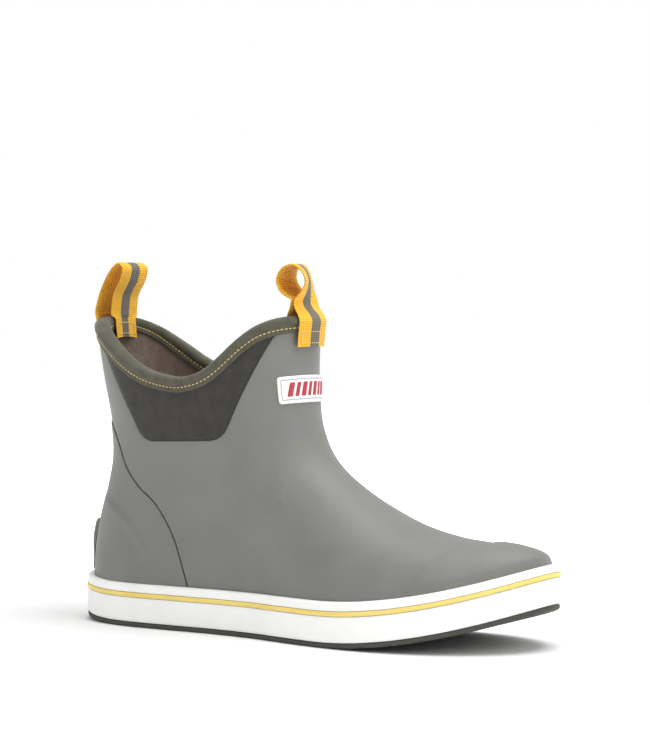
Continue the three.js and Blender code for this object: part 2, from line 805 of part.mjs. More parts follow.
// the bar of thread that tacks a sewn end down
function tack(loop, outer) {
  const lift = webbingThickness / 2 + threadGap + tackSize / 2;
  const out = outer ? strapOut + lift : strapIn - lift;
  const drop = outer ? loop.outerEnd - 4 : loop.innerEnd - 4;
  const level = collarLevel - drop / levelPitch;
  const turns = turnsAcross(collarLevel, loop.turn, webbingWidth - 5, 5);
  return sheet(wallGrid(level, level + 2.4 / levelPitch, turns, out, 1), tackSize);
}

// ---- badge ----

function labelGrid(width, height, out) {
  const level = labelLevel;
  const turns = turnsAcross(level, front, width, 7);
  const half = height / 2 / levelPitch;
  return wallGrid(level - half, level + half, turns, out, 2);
}

function labelPatch() {
  return sheet(labelGrid(2 * labelHalfWidth, labelHeight, gap + labelThickness / 2), labelThickness);
}

const inkOut = 2 * gap + labelThickness + inkThickness / 2;

function labelBorder() {
  const width = 2 * (labelHalfWidth - labelInset);
  const height = labelHeight - 2 * labelInset;
  const outer = toManifold(sheet(labelGrid(width, height, inkOut), inkThickness));
  const cut = labelGrid(width - 2 * borderWidth, height - 2 * borderWidth, inkOut);
  return toGeometry(outer.subtract(toManifold(sheet(cut, inkThickness * 4))));
}

function labelMark() {
  return sheet(labelGrid(2 * labelHalfWidth - 14, labelHeight - 9, inkOut), inkThickness);
}

// ---- the boot ----

const materials = {
  tread: new THREE.MeshStandardMaterial({ color: 0x46463e, roughness: 0.75 }),
  whiteRubber: new THREE.MeshStandardMaterial({ color: 0xf4f4f2, roughness: 0.5 }),
  yellowRubber: new THREE.MeshStandardMaterial({ color: 0xf2c94c, roughness: 0.5 }),
  board: new THREE.MeshStandardMaterial({ color: 0xb9a98c, roughness: 0.9 }),
  foam: new THREE.MeshStandardMaterial({ color: 0x55565a, roughness: 0.95 }),
  greyRubber: new THREE.MeshStandardMaterial({ color: 0x86877f, roughness: 0.6 }),
  neoprene: new THREE.MeshStandardMaterial({ color: 0x474642, roughness: 0.95 }),
  cloth: new THREE.MeshStandardMaterial({ color: 0x6b5f55, roughness: 0.95 }),
  binding: new THREE.MeshStandardMaterial({ color: 0x4d4d40, roughness: 0.9 }),
  thread: new THREE.MeshStandardMaterial({ color: 0xd8c88a, roughness: 0.8 }),
  webbing: new THREE.MeshStandardMaterial({ color: 0xf0b733, roughness: 0.8 }),
  ink: new THREE.MeshStandardMaterial({ color: 0xaa2832, roughness: 0.6 }),
  greyInk: new THREE.MeshStandardMaterial({ color: 0x9aa3a6, roughness: 0.6 }),
};

const pieces = [
  ['outsole', outsole(), materials.tread],
  ['foxing_band', foxingBand(), materials.whiteRubber],
  ['foxing_stripe', foxingStripe(), materials.yellowRubber],
  ['midsole', midsole(), materials.foam],
  ['insole_board', insoleBoard(), materials.board],
  ['footbed_foam', footbedFoam(), materials.foam],
  ['footbed_cover', footbedCover(), materials.cloth],
  ['footbed_heel_pad', footbedHeelPad(), materials.yellowRubber],
  ['upper_shell', upperShell(), materials.greyRubber],
  ['heel_panel', heelPanel(), materials.greyRubber],
  ['heel_kick_tab', heelKickTab(), materials.greyRubber],
  ['toe_puff', toePuff(), materials.board],
  ['heel_counter', heelCounter(), materials.board],
  ['foam_interlay', foamInterlay(), materials.foam],
  ['gusset_outer', gusset(-1), materials.neoprene],
  ['gusset_inner', gusset(1), materials.neoprene],
  ['lining', lining(), materials.cloth],
  ['back_seam_tape', backSeamTape(), materials.binding],
  ['collar_binding', collarBinding(), materials.binding],
  ['collar_thread_outer', collarThread(threadOut), materials.thread],
  ['collar_thread_inner', collarThread(threadIn), materials.thread],
  ['front_loop', freeLoop(frontLoop), materials.webbing],
  ['front_loop_outer_end', sewnEnd(frontLoop, true), materials.webbing],
  ['front_loop_inner_end', sewnEnd(frontLoop, false), materials.webbing],
  ['front_tack_outer', tack(frontLoop, true), materials.thread],
  ['front_tack_inner', tack(frontLoop, false), materials.thread],
  ['rear_loop', freeLoop(rearLoop), materials.webbing],
  ['rear_loop_outer_end', sewnEnd(rearLoop, true), materials.webbing],
  ['rear_loop_inner_end', sewnEnd(rearLoop, false), materials.webbing],
  ['rear_tack_outer', tack(rearLoop, true), materials.thread],
  ['rear_tack_inner', tack(rearLoop, false), materials.thread],
  ['label_patch', labelPatch(), materials.whiteRubber],
  ['label_border', labelBorder(), materials.greyInk],
  ['label_mark', labelMark(), materials.ink],
];

const boot = new THREE.Group();
pieces.forEach(([name, geometry, material]) => {
  const mesh = new THREE.Mesh(geometry, material);
  mesh.name = name;
  boot.add(mesh);
});

export default boot;
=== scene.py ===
import json
import math
import bmesh
import bpy
import numpy as np
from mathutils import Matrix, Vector


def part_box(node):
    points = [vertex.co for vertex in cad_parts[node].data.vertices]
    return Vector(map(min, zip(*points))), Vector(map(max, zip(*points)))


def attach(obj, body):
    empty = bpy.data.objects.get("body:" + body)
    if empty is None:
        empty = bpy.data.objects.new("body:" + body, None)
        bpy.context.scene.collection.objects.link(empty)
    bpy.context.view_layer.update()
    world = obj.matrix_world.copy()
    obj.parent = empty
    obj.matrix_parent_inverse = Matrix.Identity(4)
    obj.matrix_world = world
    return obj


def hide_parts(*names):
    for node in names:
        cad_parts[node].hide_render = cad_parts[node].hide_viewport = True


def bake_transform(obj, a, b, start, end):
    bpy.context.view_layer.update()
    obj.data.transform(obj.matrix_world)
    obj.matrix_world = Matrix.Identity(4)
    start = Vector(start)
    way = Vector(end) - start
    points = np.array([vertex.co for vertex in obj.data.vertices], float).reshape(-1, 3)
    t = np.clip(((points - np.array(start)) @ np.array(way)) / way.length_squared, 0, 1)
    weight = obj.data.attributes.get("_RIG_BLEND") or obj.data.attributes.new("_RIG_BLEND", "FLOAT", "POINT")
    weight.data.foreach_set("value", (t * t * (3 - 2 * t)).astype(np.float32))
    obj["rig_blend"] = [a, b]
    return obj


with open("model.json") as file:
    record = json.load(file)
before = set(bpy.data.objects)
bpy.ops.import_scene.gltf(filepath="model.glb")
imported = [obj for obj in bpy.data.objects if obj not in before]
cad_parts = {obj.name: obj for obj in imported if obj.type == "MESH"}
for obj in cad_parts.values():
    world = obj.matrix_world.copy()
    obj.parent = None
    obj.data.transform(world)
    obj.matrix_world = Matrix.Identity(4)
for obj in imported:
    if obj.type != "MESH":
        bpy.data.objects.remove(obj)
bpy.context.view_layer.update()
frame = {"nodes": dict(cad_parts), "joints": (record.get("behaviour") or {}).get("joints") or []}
mm = 0.001
pi = math.pi
print("frame loaded")


# camera, light and floor

view = {"azimuth": 32.5, "height": 4.0, "distance": 1.3, "aimHeight": 0.09, "lens": 111.3,
        "shift": (0.018, 0.130)}
lights = [
    # name, place, size, watts, colour: each is aimed at the middle of the boot
    ("softboxTop", (0.3, 0.05, 1.3), 1.0, 15, "ffffff"),
    ("softboxToe", (1.2, -0.1, 0.75), 0.7, 3.2, "fffdf8"),
    ("fillOuterSide", (-0.1, -1.6, 0.6), 1.4, 2.3, "f8fbff"),
    ("fillBack", (-0.9, 0.9, 0.7), 1.1, 1.5, "ffffff"),
]
studio = {"floor": 6, "ambient": 0.56, "backdrop": 1.0, "paperFrom": 0.18, "paperTo": 0.75,
          "paperGlow": 0.9}
aim = Vector((0, 0, view["aimHeight"]))


def linear(hexColour):
    # an sRGB hex value as Blender's linear colour
    parts = [int(hexColour[i:i + 2], 16) / 255 for i in (0, 2, 4)]
    return tuple(c / 12.92 if c <= 0.04045 else ((c + 0.055) / 1.055) ** 2.4 for c in parts) + (1,)


def addNode(tree, kind, settings=None, links=None):
    # one node with its settings; links maps an input to a value or to another node's output
    node = tree.nodes.new(kind)
    for name, value in (settings or {}).items():
        setattr(node, name, value)
    for name, value in (links or {}).items():
        if isinstance(value, bpy.types.NodeSocket):
            tree.links.new(value, node.inputs[name])
        else:
            node.inputs[name].default_value = value
    return node


def aimedFrom(obj, place):
    obj.location = place
    obj.rotation_euler = (Vector(place) - aim).to_track_quat("Z", "Y").to_euler()


def paleStudio():
    # a white backdrop that lights the boot less than it shows
    world = bpy.data.worlds.new("paleStudio")
    world.use_nodes = True
    tree = world.node_tree
    shown = addNode(tree, "ShaderNodeLightPath").outputs["Is Camera Ray"]
    strength = addNode(tree, "ShaderNodeMapRange", None,
                       {"Value": shown, "To Min": studio["ambient"], "To Max": studio["backdrop"]})
    background = tree.nodes["Background"]
    background.inputs["Color"].default_value = (1, 1, 1, 1)
    tree.links.new(strength.outputs["Result"], background.inputs["Strength"])
    return world


def makeStage():
    scene = bpy.context.scene
    azimuth, height = math.radians(view["azimuth"]), math.radians(view["height"])
    back = Vector((math.sin(azimuth) * math.cos(height), -math.cos(azimuth) * math.cos(height),
                   math.sin(height)))
    bpy.ops.object.camera_add()
    camera = bpy.context.object
    camera.name = "camera"
    camera.data.lens = view["lens"]
    camera.data.shift_x, camera.data.shift_y = view["shift"]
    camera.data.clip_end = 20
    aimedFrom(camera, aim + back * view["distance"])
    scene.camera = camera
    for name, place, size, watts, colour in lights:
        bpy.ops.object.light_add(type="AREA")
        lamp = bpy.context.object
        lamp.name = name
        lamp.data.size = size
        lamp.data.energy = watts
        lamp.data.color = linear(colour)[:3]
        aimedFrom(lamp, Vector(place))
    scene.world = paleStudio()
    scene.view_settings.view_transform = "Standard"
    bpy.ops.object.select_all(action="DESELECT")
    bpy.ops.mesh.primitive_plane_add(size=studio["floor"], location=(0, 0, 0))
    floor = bpy.context.object
    floor.name = "floor"
    paper = bpy.data.materials.new("whitePaperFloor")
    paper.use_nodes = True
    shader = paper.node_tree.nodes["Principled BSDF"]
    shader.inputs["Base Color"].default_value = linear("fafafa")
    shader.inputs["Roughness"].default_value = 0.9
    shader.inputs["Specular IOR Level"].default_value = 0.1
    # the paper glows towards its far side, so that it runs into the backdrop without an edge
    tree = paper.node_tree
    place = addNode(tree, "ShaderNodeTexCoord").outputs["Object"]
    away = addNode(tree, "ShaderNodeVectorMath", {"operation": "LENGTH"}, {0: place})
    glow = addNode(tree, "ShaderNodeMapRange", {"interpolation_type": "SMOOTHSTEP"},
                   {"Value": away.outputs["Value"], "From Min": studio["paperFrom"],
                    "From Max": studio["paperTo"], "To Max": studio["paperGlow"]})
    shader.inputs["Emission Color"].default_value = (1, 1, 1, 1)
    tree.links.new(glow.outputs["Result"], shader.inputs["Emission Strength"])
    floor.data.materials.append(paper)


makeStage()
print("stage ready")


# materials

def newMaterial(name, roughness, ior=1.5):
    material = bpy.data.materials.new(name)
    material.use_nodes = True
    tree = material.node_tree
    shader = tree.nodes["Principled BSDF"]
    shader.inputs["Roughness"].default_value = roughness
    shader.inputs["IOR"].default_value = ior
    return material, tree, shader


def mottledColour(tree, place, dark, light, patch):
    # colour that drifts between two near tones over patches of this size
    cloud = addNode(tree, "ShaderNodeTexNoise", None,
                    {"Vector": place, "Scale": 1 / patch, "Detail": 4.0, "Roughness": 0.6})
    ramp = addNode(tree, "ShaderNodeValToRGB", None, {"Fac": cloud.outputs["Fac"]})
    ramp.color_ramp.elements[0].position = 0.32
    ramp.color_ramp.elements[0].color = linear(dark)
    ramp.color_ramp.elements[1].position = 0.68
    ramp.color_ramp.elements[1].color = linear(light)
    return ramp.outputs["Color"]


def bumpFrom(tree, height, depth, strength=1.0, below=None):
    links = {"Height": height, "Distance": depth, "Strength": strength}
    if below is not None:
        links["Normal"] = below
    return addNode(tree, "ShaderNodeBump", None, links).outputs["Normal"]


def rangeOf(tree, value, low, high):
    return addNode(tree, "ShaderNodeMapRange", None,
                   {"Value": value, "To Min": low, "To Max": high}).outputs["Result"]


def rubberMaterial(name, dark, light, roughness, grain, depth, sheen=0.0):
    # vulcanised rubber: a soft broad highlight, fine moulded grain and a faint bloom
    material, tree, shader = newMaterial(name, roughness, 1.52)
    place = addNode(tree, "ShaderNodeTexCoord").outputs["Object"]
    tree.links.new(mottledColour(tree, place, dark, light, 28 * mm), shader.inputs["Base Color"])
    fine = addNode(tree, "ShaderNodeTexNoise", None,
                   {"Vector": place, "Scale": 1 / grain, "Detail": 3.0, "Roughness": 0.55})
    wide = addNode(tree, "ShaderNodeTexNoise", None,
                   {"Vector": place, "Scale": 1 / (14 * mm), "Detail": 2.0})
    tree.links.new(rangeOf(tree, wide.outputs["Fac"], roughness - 0.06, roughness + 0.06),
                   shader.inputs["Roughness"])
    soft = bumpFrom(tree, wide.outputs["Fac"], 0.25 * mm)
    tree.links.new(bumpFrom(tree, fine.outputs["Fac"], depth, 1.0, soft), shader.inputs["Normal"])
    shader.inputs["Sheen Weight"].default_value = sheen
    shader.inputs["Sheen Roughness"].default_value = 0.5
    return material


def knitMaterial(name, dark, light, stitch, depth, sheen, heather):
    # weft knit: small loops in rows, drawn a little coarser than the real gauge so that they show
    material, tree, shader = newMaterial(name, 0.92, 1.45)
    place = addNode(tree, "ShaderNodeTexCoord").outputs["Object"]
    tall = addNode(tree, "ShaderNodeMapping", None, {"Vector": place, "Scale": (1.0, 1.0, 0.7)})
    cells = addNode(tree, "ShaderNodeTexVoronoi", None,
                    {"Vector": tall.outputs["Vector"], "Scale": 1 / stitch, "Randomness": 0.45})
    fibre = addNode(tree, "ShaderNodeTexNoise", None,
                    {"Vector": place, "Scale": 1 / (stitch * 0.6), "Detail": 2.0, "Roughness": 0.7})
    patches = mottledColour(tree, place, dark, light, heather)
    speck = addNode(tree, "ShaderNodeMix", {"data_type": "RGBA", "blend_type": "MULTIPLY"},
                    {"Factor": 0.55, "A": patches})
    tint = rangeOf(tree, fibre.outputs["Fac"], 0.55, 1.4)
    tree.links.new(tint, speck.inputs["B"])
    tree.links.new(speck.outputs["Result"], shader.inputs["Base Color"])
    loops = bumpFrom(tree, cells.outputs["Distance"], depth)
    tree.links.new(bumpFrom(tree, fibre.outputs["Fac"], depth * 0.5, 1.0, loops),
                   shader.inputs["Normal"])
    shader.inputs["Sheen Weight"].default_value = sheen
    shader.inputs["Sheen Roughness"].default_value = 0.4
    return material


def webbingMaterial(name, yellow, yellowDark, stripe, stripeHalf, ribPitch):
    # tubular polyester webbing: ribs across the strap, with a woven stripe on the outer face, and painted
    # shade in the troughs between the ribs.
    # the UV map holds the place across the strap and the length along it, both in metres
    material, tree, shader = newMaterial(name, 0.78, 1.5)
    uv = addNode(tree, "ShaderNodeUVMap", {"uv_map": "strap"}).outputs["UV"]
    across = addNode(tree, "ShaderNodeSeparateXYZ", None, {"Vector": uv})
    off = addNode(tree, "ShaderNodeMath", {"operation": "ABSOLUTE"}, {0: across.outputs["X"]})
    inStripe = addNode(tree, "ShaderNodeMath", {"operation": "LESS_THAN"},
                       {0: off.outputs["Value"], 1: stripeHalf})
    warp = addNode(tree, "ShaderNodeTexWave", {"bands_direction": "X"},
                   {"Vector": uv, "Scale": 1 / (0.9 * mm) / 6.283, "Distortion": 0.0})
    weft = addNode(tree, "ShaderNodeTexWave", {"bands_direction": "Y"},
                   {"Vector": uv, "Scale": 1 / ribPitch / 3.183, "Distortion": 0.6, "Detail": 1.0})
    fleck = addNode(tree, "ShaderNodeTexNoise", None,
                    {"Vector": uv, "Scale": 1 / (0.8 * mm), "Detail": 2.0})
    base = addNode(tree, "ShaderNodeMix", {"data_type": "RGBA"},
                   {"Factor": rangeOf(tree, fleck.outputs["Fac"], 0.0, 1.0),
                    "A": linear(yellowDark), "B": linear(yellow)})
    mixed = addNode(tree, "ShaderNodeMix", {"data_type": "RGBA"},
                    {"Factor": inStripe.outputs["Value"], "A": base.outputs["Result"],
                     "B": linear(stripe)})
    # painted shade: the colour is darkened by up to a quarter in the rib troughs, using the same wave as the
    # ribs' bump
    paintedRibShade = addNode(tree, "ShaderNodeMix", {"data_type": "RGBA", "blend_type": "MULTIPLY"},
                    {"Factor": 0.25, "A": mixed.outputs["Result"], "B": weft.outputs["Color"]})
    tree.links.new(paintedRibShade.outputs["Result"], shader.inputs["Base Color"])
    ribs = bumpFrom(tree, weft.outputs["Fac"], 0.18 * mm)
    tree.links.new(bumpFrom(tree, warp.outputs["Fac"], 0.12 * mm, 1.0, ribs),
                   shader.inputs["Normal"])
    shader.inputs["Sheen Weight"].default_value = 0.12
    shader.inputs["Sheen Roughness"].default_value = 0.4
    return material


materials = {
    "upper": rubberMaterial("warmGreyVulcanisedRubber", "70716c", "777873", 0.56, 0.9 * mm,
                            0.035 * mm, 0.12),
    "white": rubberMaterial("whiteFoxingRubber", "f4f4f2", "fafaf8", 0.42, 1.1 * mm, 0.02 * mm),
    "stripe": rubberMaterial("yellowFoxingStripe", "eed26a", "f3da7c", 0.42, 1.1 * mm, 0.02 * mm),
    "tread": rubberMaterial("charcoalTreadRubber", "3d3d37", "474740", 0.7, 0.8 * mm, 0.05 * mm),
    "gusset": knitMaterial("charcoalNeopreneKnit", "33322e", "3e3c37", 0.9 * mm, 0.1 * mm, 0.2,
                           9 * mm),
    "binding": knitMaterial("oliveGreyFoldedBinding", "4b4a3e", "5a584a", 0.8 * mm, 0.09 * mm,
                            0.25, 6 * mm),
    "lining": knitMaterial("taupeAirMeshLining", "6a5c51", "7b6d61", 1.1 * mm, 0.12 * mm, 0.3,
                           5 * mm),
    "tape": knitMaterial("darkTwillSeamTape", "37342f", "423e38", 0.7 * mm, 0.07 * mm, 0.2, 5 * mm),
    "thread": knitMaterial("goldPolyesterThread", "d8bd72", "e8d190", 0.35 * mm, 0.05 * mm, 0.3,
                           3 * mm),
    "foam": rubberMaterial("charcoalEvaFoam", "3b3c40", "45464a", 0.9, 0.7 * mm, 0.08 * mm),
    "gel": rubberMaterial("amberHeelGel", "d39a2c", "dda63a", 0.4, 1.2 * mm, 0.02 * mm),
    "board": knitMaterial("cellulosicLastingBoard", "b09f80", "bfae90", 1.0 * mm, 0.05 * mm, 0.1,
                          8 * mm),
    "label": rubberMaterial("whiteBadgeRubber", "efefee", "f7f7f6", 0.4, 0.9 * mm, 0.015 * mm),
    "labelLine": rubberMaterial("greyBadgeInk", "9aa2a6", "a4acb0", 0.45, 0.9 * mm, 0.01 * mm),
    "labelRed": rubberMaterial("redBadgeInk", "a52836", "b0303e", 0.42, 0.9 * mm, 0.01 * mm),
    "webbing": webbingMaterial("goldPolyesterWebbing", "fcc437", "f2b024", "6f6a60", 4 * mm,
                               1.25 * mm),
}
print("materials ready")


# the boot's outer shape, in millimetres: the same curves as the frame was made from

edgeGap = 0.3
last = {
    "heelX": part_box("midsole")[0].x / mm - edgeGap,
    "toeX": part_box("upper_shell")[1].x / mm,
    "toeSpring": 22,
    "springStart": 30,
    "heelSpring": 2.8,
    "heelSpringStart": -110,
    "shaftFront": 7,
    "shaftMiddle": -71,
    "shaftTwist": 0.14,
    "shaftHeight": 175.5,
    "collarDip": 34,
    "levelPitch": 15,
}
sole = {
    "band": 4, "bandBottom": 3, "bandTop": 25, "board": 16, "sock": 18.3,
    "stripe": 18.6, "stripeWidth": 2.5, "stripeDepth": 1.2, "stripeProud": 0.3,
}
layers = {"lining": 3.9, "cloth": 1.4, "footbed": 8.3}


def through(points):
    # a smooth curve through (x, y) points
    px = np.array([p[0] for p in points], float)
    py = np.array([p[1] for p in points], float)
    before = np.maximum(np.arange(len(px)) - 1, 0)
    after = np.minimum(np.arange(len(px)) + 1, len(px) - 1)
    slopes = (py[after] - py[before]) / (px[after] - px[before])

    def curve(x):
        x = np.asarray(x, float)
        i = np.clip(np.searchsorted(px, x) - 1, 0, len(px) - 2)
        span = px[i + 1] - px[i]
        t = np.clip((x - px[i]) / span, 0, 1)
        bend = (t - 1) ** 2 * t * slopes[i] * span + t * t * (t - 1) * slopes[i + 1] * span
        return py[i] + (py[i + 1] - py[i]) * t * t * (3 - 2 * t) + bend

    return curve


def smoothstep(x, low, high):
    t = np.clip((x - low) / (high - low), 0, 1)
    return t * t * (3 - 2 * t)


def lerp(a, b, t):
    return a + (b - a) * t


def soleRise(x):
    toeSpan = last["toeX"] + sole["band"] - last["springStart"]
    toe = np.maximum((x - last["springStart"]) / toeSpan, 0)
    heelSpan = last["heelSpringStart"] - last["heelX"] + sole["band"]
    heel = np.maximum((last["heelSpringStart"] - x) / heelSpan, 0)
    return last["toeSpring"] * toe ** 2 + last["heelSpring"] * heel ** 2


heelX, toeX, shaftFront = last["heelX"], last["toeX"], last["shaftFront"]
heelProfile = through([
    (14, heelX), (30, heelX + 0.2), (45, heelX + 1.6), (62, heelX + 4.6), (80, heelX + 9.2),
    (97, heelX + 11.5), (117, heelX + 9), (130, heelX + 6), (157, heelX), (182, heelX - 3)])
# each level: front x, front z, rear z, share of the sole's curve, share of the collar's dip
levels = [
    (toeX, sole["board"] + float(soleRise(toeX)), sole["board"] + float(soleRise(heelX)), 1, 0),
    (toeX - 1, 45, 25, 0.93, 0), (140, 51.5, 32, 0.8, 0), (127, 55.4, 38, 0.65, 0),
    (110, 56.6, 45, 0.5, 0), (90, 59, 52, 0.35, 0), (68, 65, 60, 0.22, 0),
    (47, 75.5, 69, 0.1, 0), (30, 87, 80, 0.03, 0), (16, 100, 93, 0, 0.03),
    (shaftFront + 2, 115, 109, 0, 0.2), (shaftFront - 1, 132, 127, 0, 0.42),
    (shaftFront - 2, 148, 145, 0, 0.65), (shaftFront - 1.5, 163, 162, 0, 0.85),
    (shaftFront, last["shaftHeight"], last["shaftHeight"], 0, 1)]
topLevel = len(levels) - 1
levelFrontX, levelFrontZ, levelRear, levelSole, levelCollar = [
    through([(i, level[k]) for i, level in enumerate(levels)]) for k in range(5)]
frontProfile = through([(level[1], level[0]) for level in levels])
topProfile = through([(level[0], level[1]) for i, level in reversed(list(enumerate(levels)))
                      if i == 0 or level[0] < levels[i - 1][0]])
outerHalf = through([
    (-150, 33), (-100, 35.5), (-70, 35), (-40, 34.8), (-10, 37.8), (20, 45), (50, 50.5),
    (72, 51.5), (95, 49), (115, 44), (130, 38), (147, 33)])
innerHalf = through([
    (-150, 33), (-100, 34.5), (-70, 32), (-40, 29.2), (-10, 30.5), (20, 36.8), (45, 45),
    (68, 49), (90, 50), (112, 47.4), (130, 41), (147, 34)])
shaftHalf = through([(60, 36), (85, 37.5), (110, 39.5), (140, 43), (182, 44.5)])
toeShift = through([(0, 0), (40, 0), (75, 0.6), (110, 2.2), (toeX, 6)])
dipShape = through([
    (0, 0), (0.1, 0.2), (0.2, 0.47), (0.3, 0.73), (0.4, 0.9), (0.5, 0.985), (0.56, 1),
    (0.64, 0.93), (0.7, 0.8), (0.76, 0.59), (0.82, 0.36), (0.88, 0.17), (0.94, 0.06), (1, 0)])


def halfWidth(side, x, z, frontX, frontZ):
    foot = np.where(side > 0, innerHalf(x), outerHalf(x))
    full = lerp(foot, shaftHalf(z), smoothstep(z, 42, 112))
    toFront = np.maximum(frontX - x + frontProfile(z) - frontProfile(frontZ), 0)
    toTop = np.maximum(topProfile(x) - z + frontZ - topProfile(frontX), 0)
    underTop = (x > shaftFront - 2) & (frontZ < 110)
    toTop = np.where(underTop, toTop, 1000)
    toEdge = toFront * toTop / np.maximum(np.hypot(toFront, toTop), 0.001)
    toRear = np.maximum(x - heelProfile(z), 0)
    frontRound = lerp(20, 25, smoothstep(z, 60, 125))
    rearRound = lerp(17, 24, smoothstep(z, 80, 160))
    return full * np.sqrt((1 - np.exp(-toEdge / frontRound)) * (1 - np.exp(-toRear / rearRound)))


def outside(level, turn):
    # a point of the upper's outside, at a level and at a turn from the back round the outer side
    level, turn = np.broadcast_arrays(np.asarray(level, float), np.asarray(turn, float))
    rearZ, frontX, frontZ = levelRear(level), levelFrontX(level), levelFrontZ(level)
    rearX = heelProfile(rearZ)
    along = (1 - np.cos(turn)) / 2
    x = lerp(rearX, frontX, along)
    sag = soleRise(x) - soleRise(rearX) * (1 - along) - soleRise(frontX) * along
    drop = last["collarDip"] * dipShape(along)
    z = lerp(rearZ, frontZ, along) + levelSole(level) * sag - levelCollar(level) * drop
    side = np.where(np.sin(turn) > 0, -1.0, 1.0)
    atEnd = np.abs(np.sin(turn)) < 1e-6
    twist = last["shaftTwist"] * (last["shaftMiddle"] - x) * smoothstep(z, 42, 125)
    half = np.where(atEnd, 0, side * halfWidth(side, x, z, frontX, frontZ))
    return np.stack([x, toeShift(x) * along + twist + half, z], -1)


def unit(v):
    return v / np.maximum(np.linalg.norm(v, axis=-1, keepdims=True), 1e-9)


def outwardAt(level, turn, flat=False):
    level, turn = np.broadcast_arrays(np.asarray(level, float), np.asarray(turn, float))
    low, high = np.maximum(level - 0.3, 0), np.minimum(level + 0.3, topLevel)
    up = outside(high, turn) - outside(low, turn)
    around = outside(level, turn + 0.012) - outside(level, turn - 0.012)
    normal = np.cross(around, up)
    if flat:
        normal[..., 2] = 0
    return unit(normal)


# meshes

def newPiece(name, points, faces, body, material, nodes=()):
    mesh = bpy.data.meshes.new(name)
    mesh.from_pydata((np.asarray(points).reshape(-1, 3) * mm).tolist(), [], faces)
    mesh.validate()
    piece = bpy.data.objects.new(name, mesh)
    bpy.context.scene.collection.objects.link(piece)
    piece.data.materials.append(materials[material])
    declare(piece, body, nodes)
    return piece


def declare(piece, body, nodes):
    if body:
        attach(piece, body)
    if nodes:
        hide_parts(*nodes)


def selectOnly(piece):
    bpy.ops.object.select_all(action="DESELECT")
    piece.select_set(True)
    bpy.context.view_layer.objects.active = piece


def finishSmooth(piece, angle=40):
    selectOnly(piece)
    bpy.ops.object.shade_smooth_by_angle(angle=math.radians(angle))


def applyModifier(piece, kind, **settings):
    selectOnly(piece)
    bpy.ops.object.modifier_add(type=kind)
    modifier = piece.modifiers[-1]
    for name, value in settings.items():
        setattr(modifier, name, value)
    bpy.ops.object.modifier_apply(modifier=modifier.name)


def outwards(piece):
    # closed mesh, faces pointing out
    bm = bmesh.new()
    bm.from_mesh(piece.data)
    if bm.calc_volume(signed=True) < 0:
        bmesh.ops.reverse_faces(bm, faces=bm.faces)
    bm.to_mesh(piece.data)
    bm.free()


def ringFaces(rows, count, closedRows, fill=False):
    faces = []
    for row in range(rows if closedRows else rows - 1):
        nextRow = (row + 1) % rows
        for i in range(count):
            j = (i + 1) % count
            faces.append((row * count + i, row * count + j,
                          nextRow * count + j, nextRow * count + i))
    if fill:
        for start in (0, (rows - 1) * count):
            # opposite points are at the same place along the boot, so strips join them
            for i in range(count // 2):
                a, b = start + i, start + i + 1
                c, d = start + (count - i - 1) % count, start + (count - i) % count
                if i == 0:
                    faces.append((a, b, c))
                elif b == c:
                    faces.append((a, b, d))
                else:
                    faces.append((a, b, c, d))
    return faces


def ringPiece(name, rings, body, material, nodes=(), closedRows=True, fill=False):
    rings = np.asarray(rings)
    faces = ringFaces(len(rings), rings.shape[1], closedRows, fill)
    piece = newPiece(name, rings, faces, body, material, nodes)
    outwards(piece)
    finishSmooth(piece)
    return piece


def turnsRound(count):
    return np.linspace(-pi, pi, count, endpoint=False)


# sheets of the upper: a grid over the outer shape, cut along outlines drawn in the side view

gussetWindow = {"topRear": (-138.5, 176), "bottomRear": (-92, 106.3), "bottomFront": (-33, 108.8),
                "topFront": (2, 176), "corner": 9, "rise": 25}
heelSeam = [(-150, 119), (-128, 116), (-117, 106), (-107.5, 91.5), (-96, 80), (-83.5, 71),
            (-72, 55), (-65, 37), (-60, 20), (-58, 5)]


def gussetOutline():
    values = gussetWindow
    corners = [np.array(values[k], float)
               for k in ("topRear", "bottomRear", "bottomFront", "topFront")]
    outline = [corners[0] + unit(corners[0] - corners[1]) * values["rise"]]
    for before, corner, after in (corners[0:3], corners[1:4]):
        start = corner + unit(before - corner) * values["corner"]
        finish = corner + unit(after - corner) * values["corner"]
        for t in np.linspace(0, 1, 9):
            outline.append((1 - t) ** 2 * start + 2 * t * (1 - t) * corner + t * t * finish)
    outline.append(corners[3] + unit(corners[3] - corners[2]) * values["rise"])
    return np.array(outline)


def heelOutline():
    points = np.array(heelSeam, float)
    padded = np.vstack([2 * points[0] - points[1], points, 2 * points[-1] - points[-2]])
    outline = []
    for i in range(len(points) - 1):
        a, b, c, d = padded[i:i + 4]
        for t in np.linspace(0, 1, 7)[:-1]:
            outline.append(0.5 * (2 * b + (c - a) * t + (2 * a - 5 * b + 4 * c - d) * t ** 2
                                  + (3 * b - a - 3 * c + d) * t ** 3))
    outline += [points[-1], np.array([-190.0, 5]), np.array([-190.0, 119])]
    return np.array(outline)


def outlineDistance(outline, x, z):
    # distance to an outline in the side view, negative inside it
    a, b = outline, np.roll(outline, -1, 0)
    edge = b - a
    point = np.stack([x, z], -1)[:, None, :]
    t = np.clip(((point - a) * edge).sum(-1) / (edge * edge).sum(-1), 0, 1)
    distance = np.linalg.norm(point - a - t[..., None] * edge, axis=-1).min(1)
    crosses = (a[:, 1] > z[:, None]) != (b[:, 1] > z[:, None])
    run = np.where(edge[:, 1] == 0, 1e-9, edge[:, 1])
    left = x[:, None] < edge[:, 0] * (z[:, None] - a[:, 1]) / run + a[:, 0]
    inside = (crosses & left).sum(1) % 2 == 1
    return np.where(inside, -distance, distance)


outlines = {"gusset": gussetOutline(), "heel": heelOutline()}
wallGrid = {"around": 320, "perLevel": 7}


def distanceTo(which, level, turn):
    place = outside(level, turn)
    return outlineDistance(outlines[which], place[:, 0], place[:, 2])


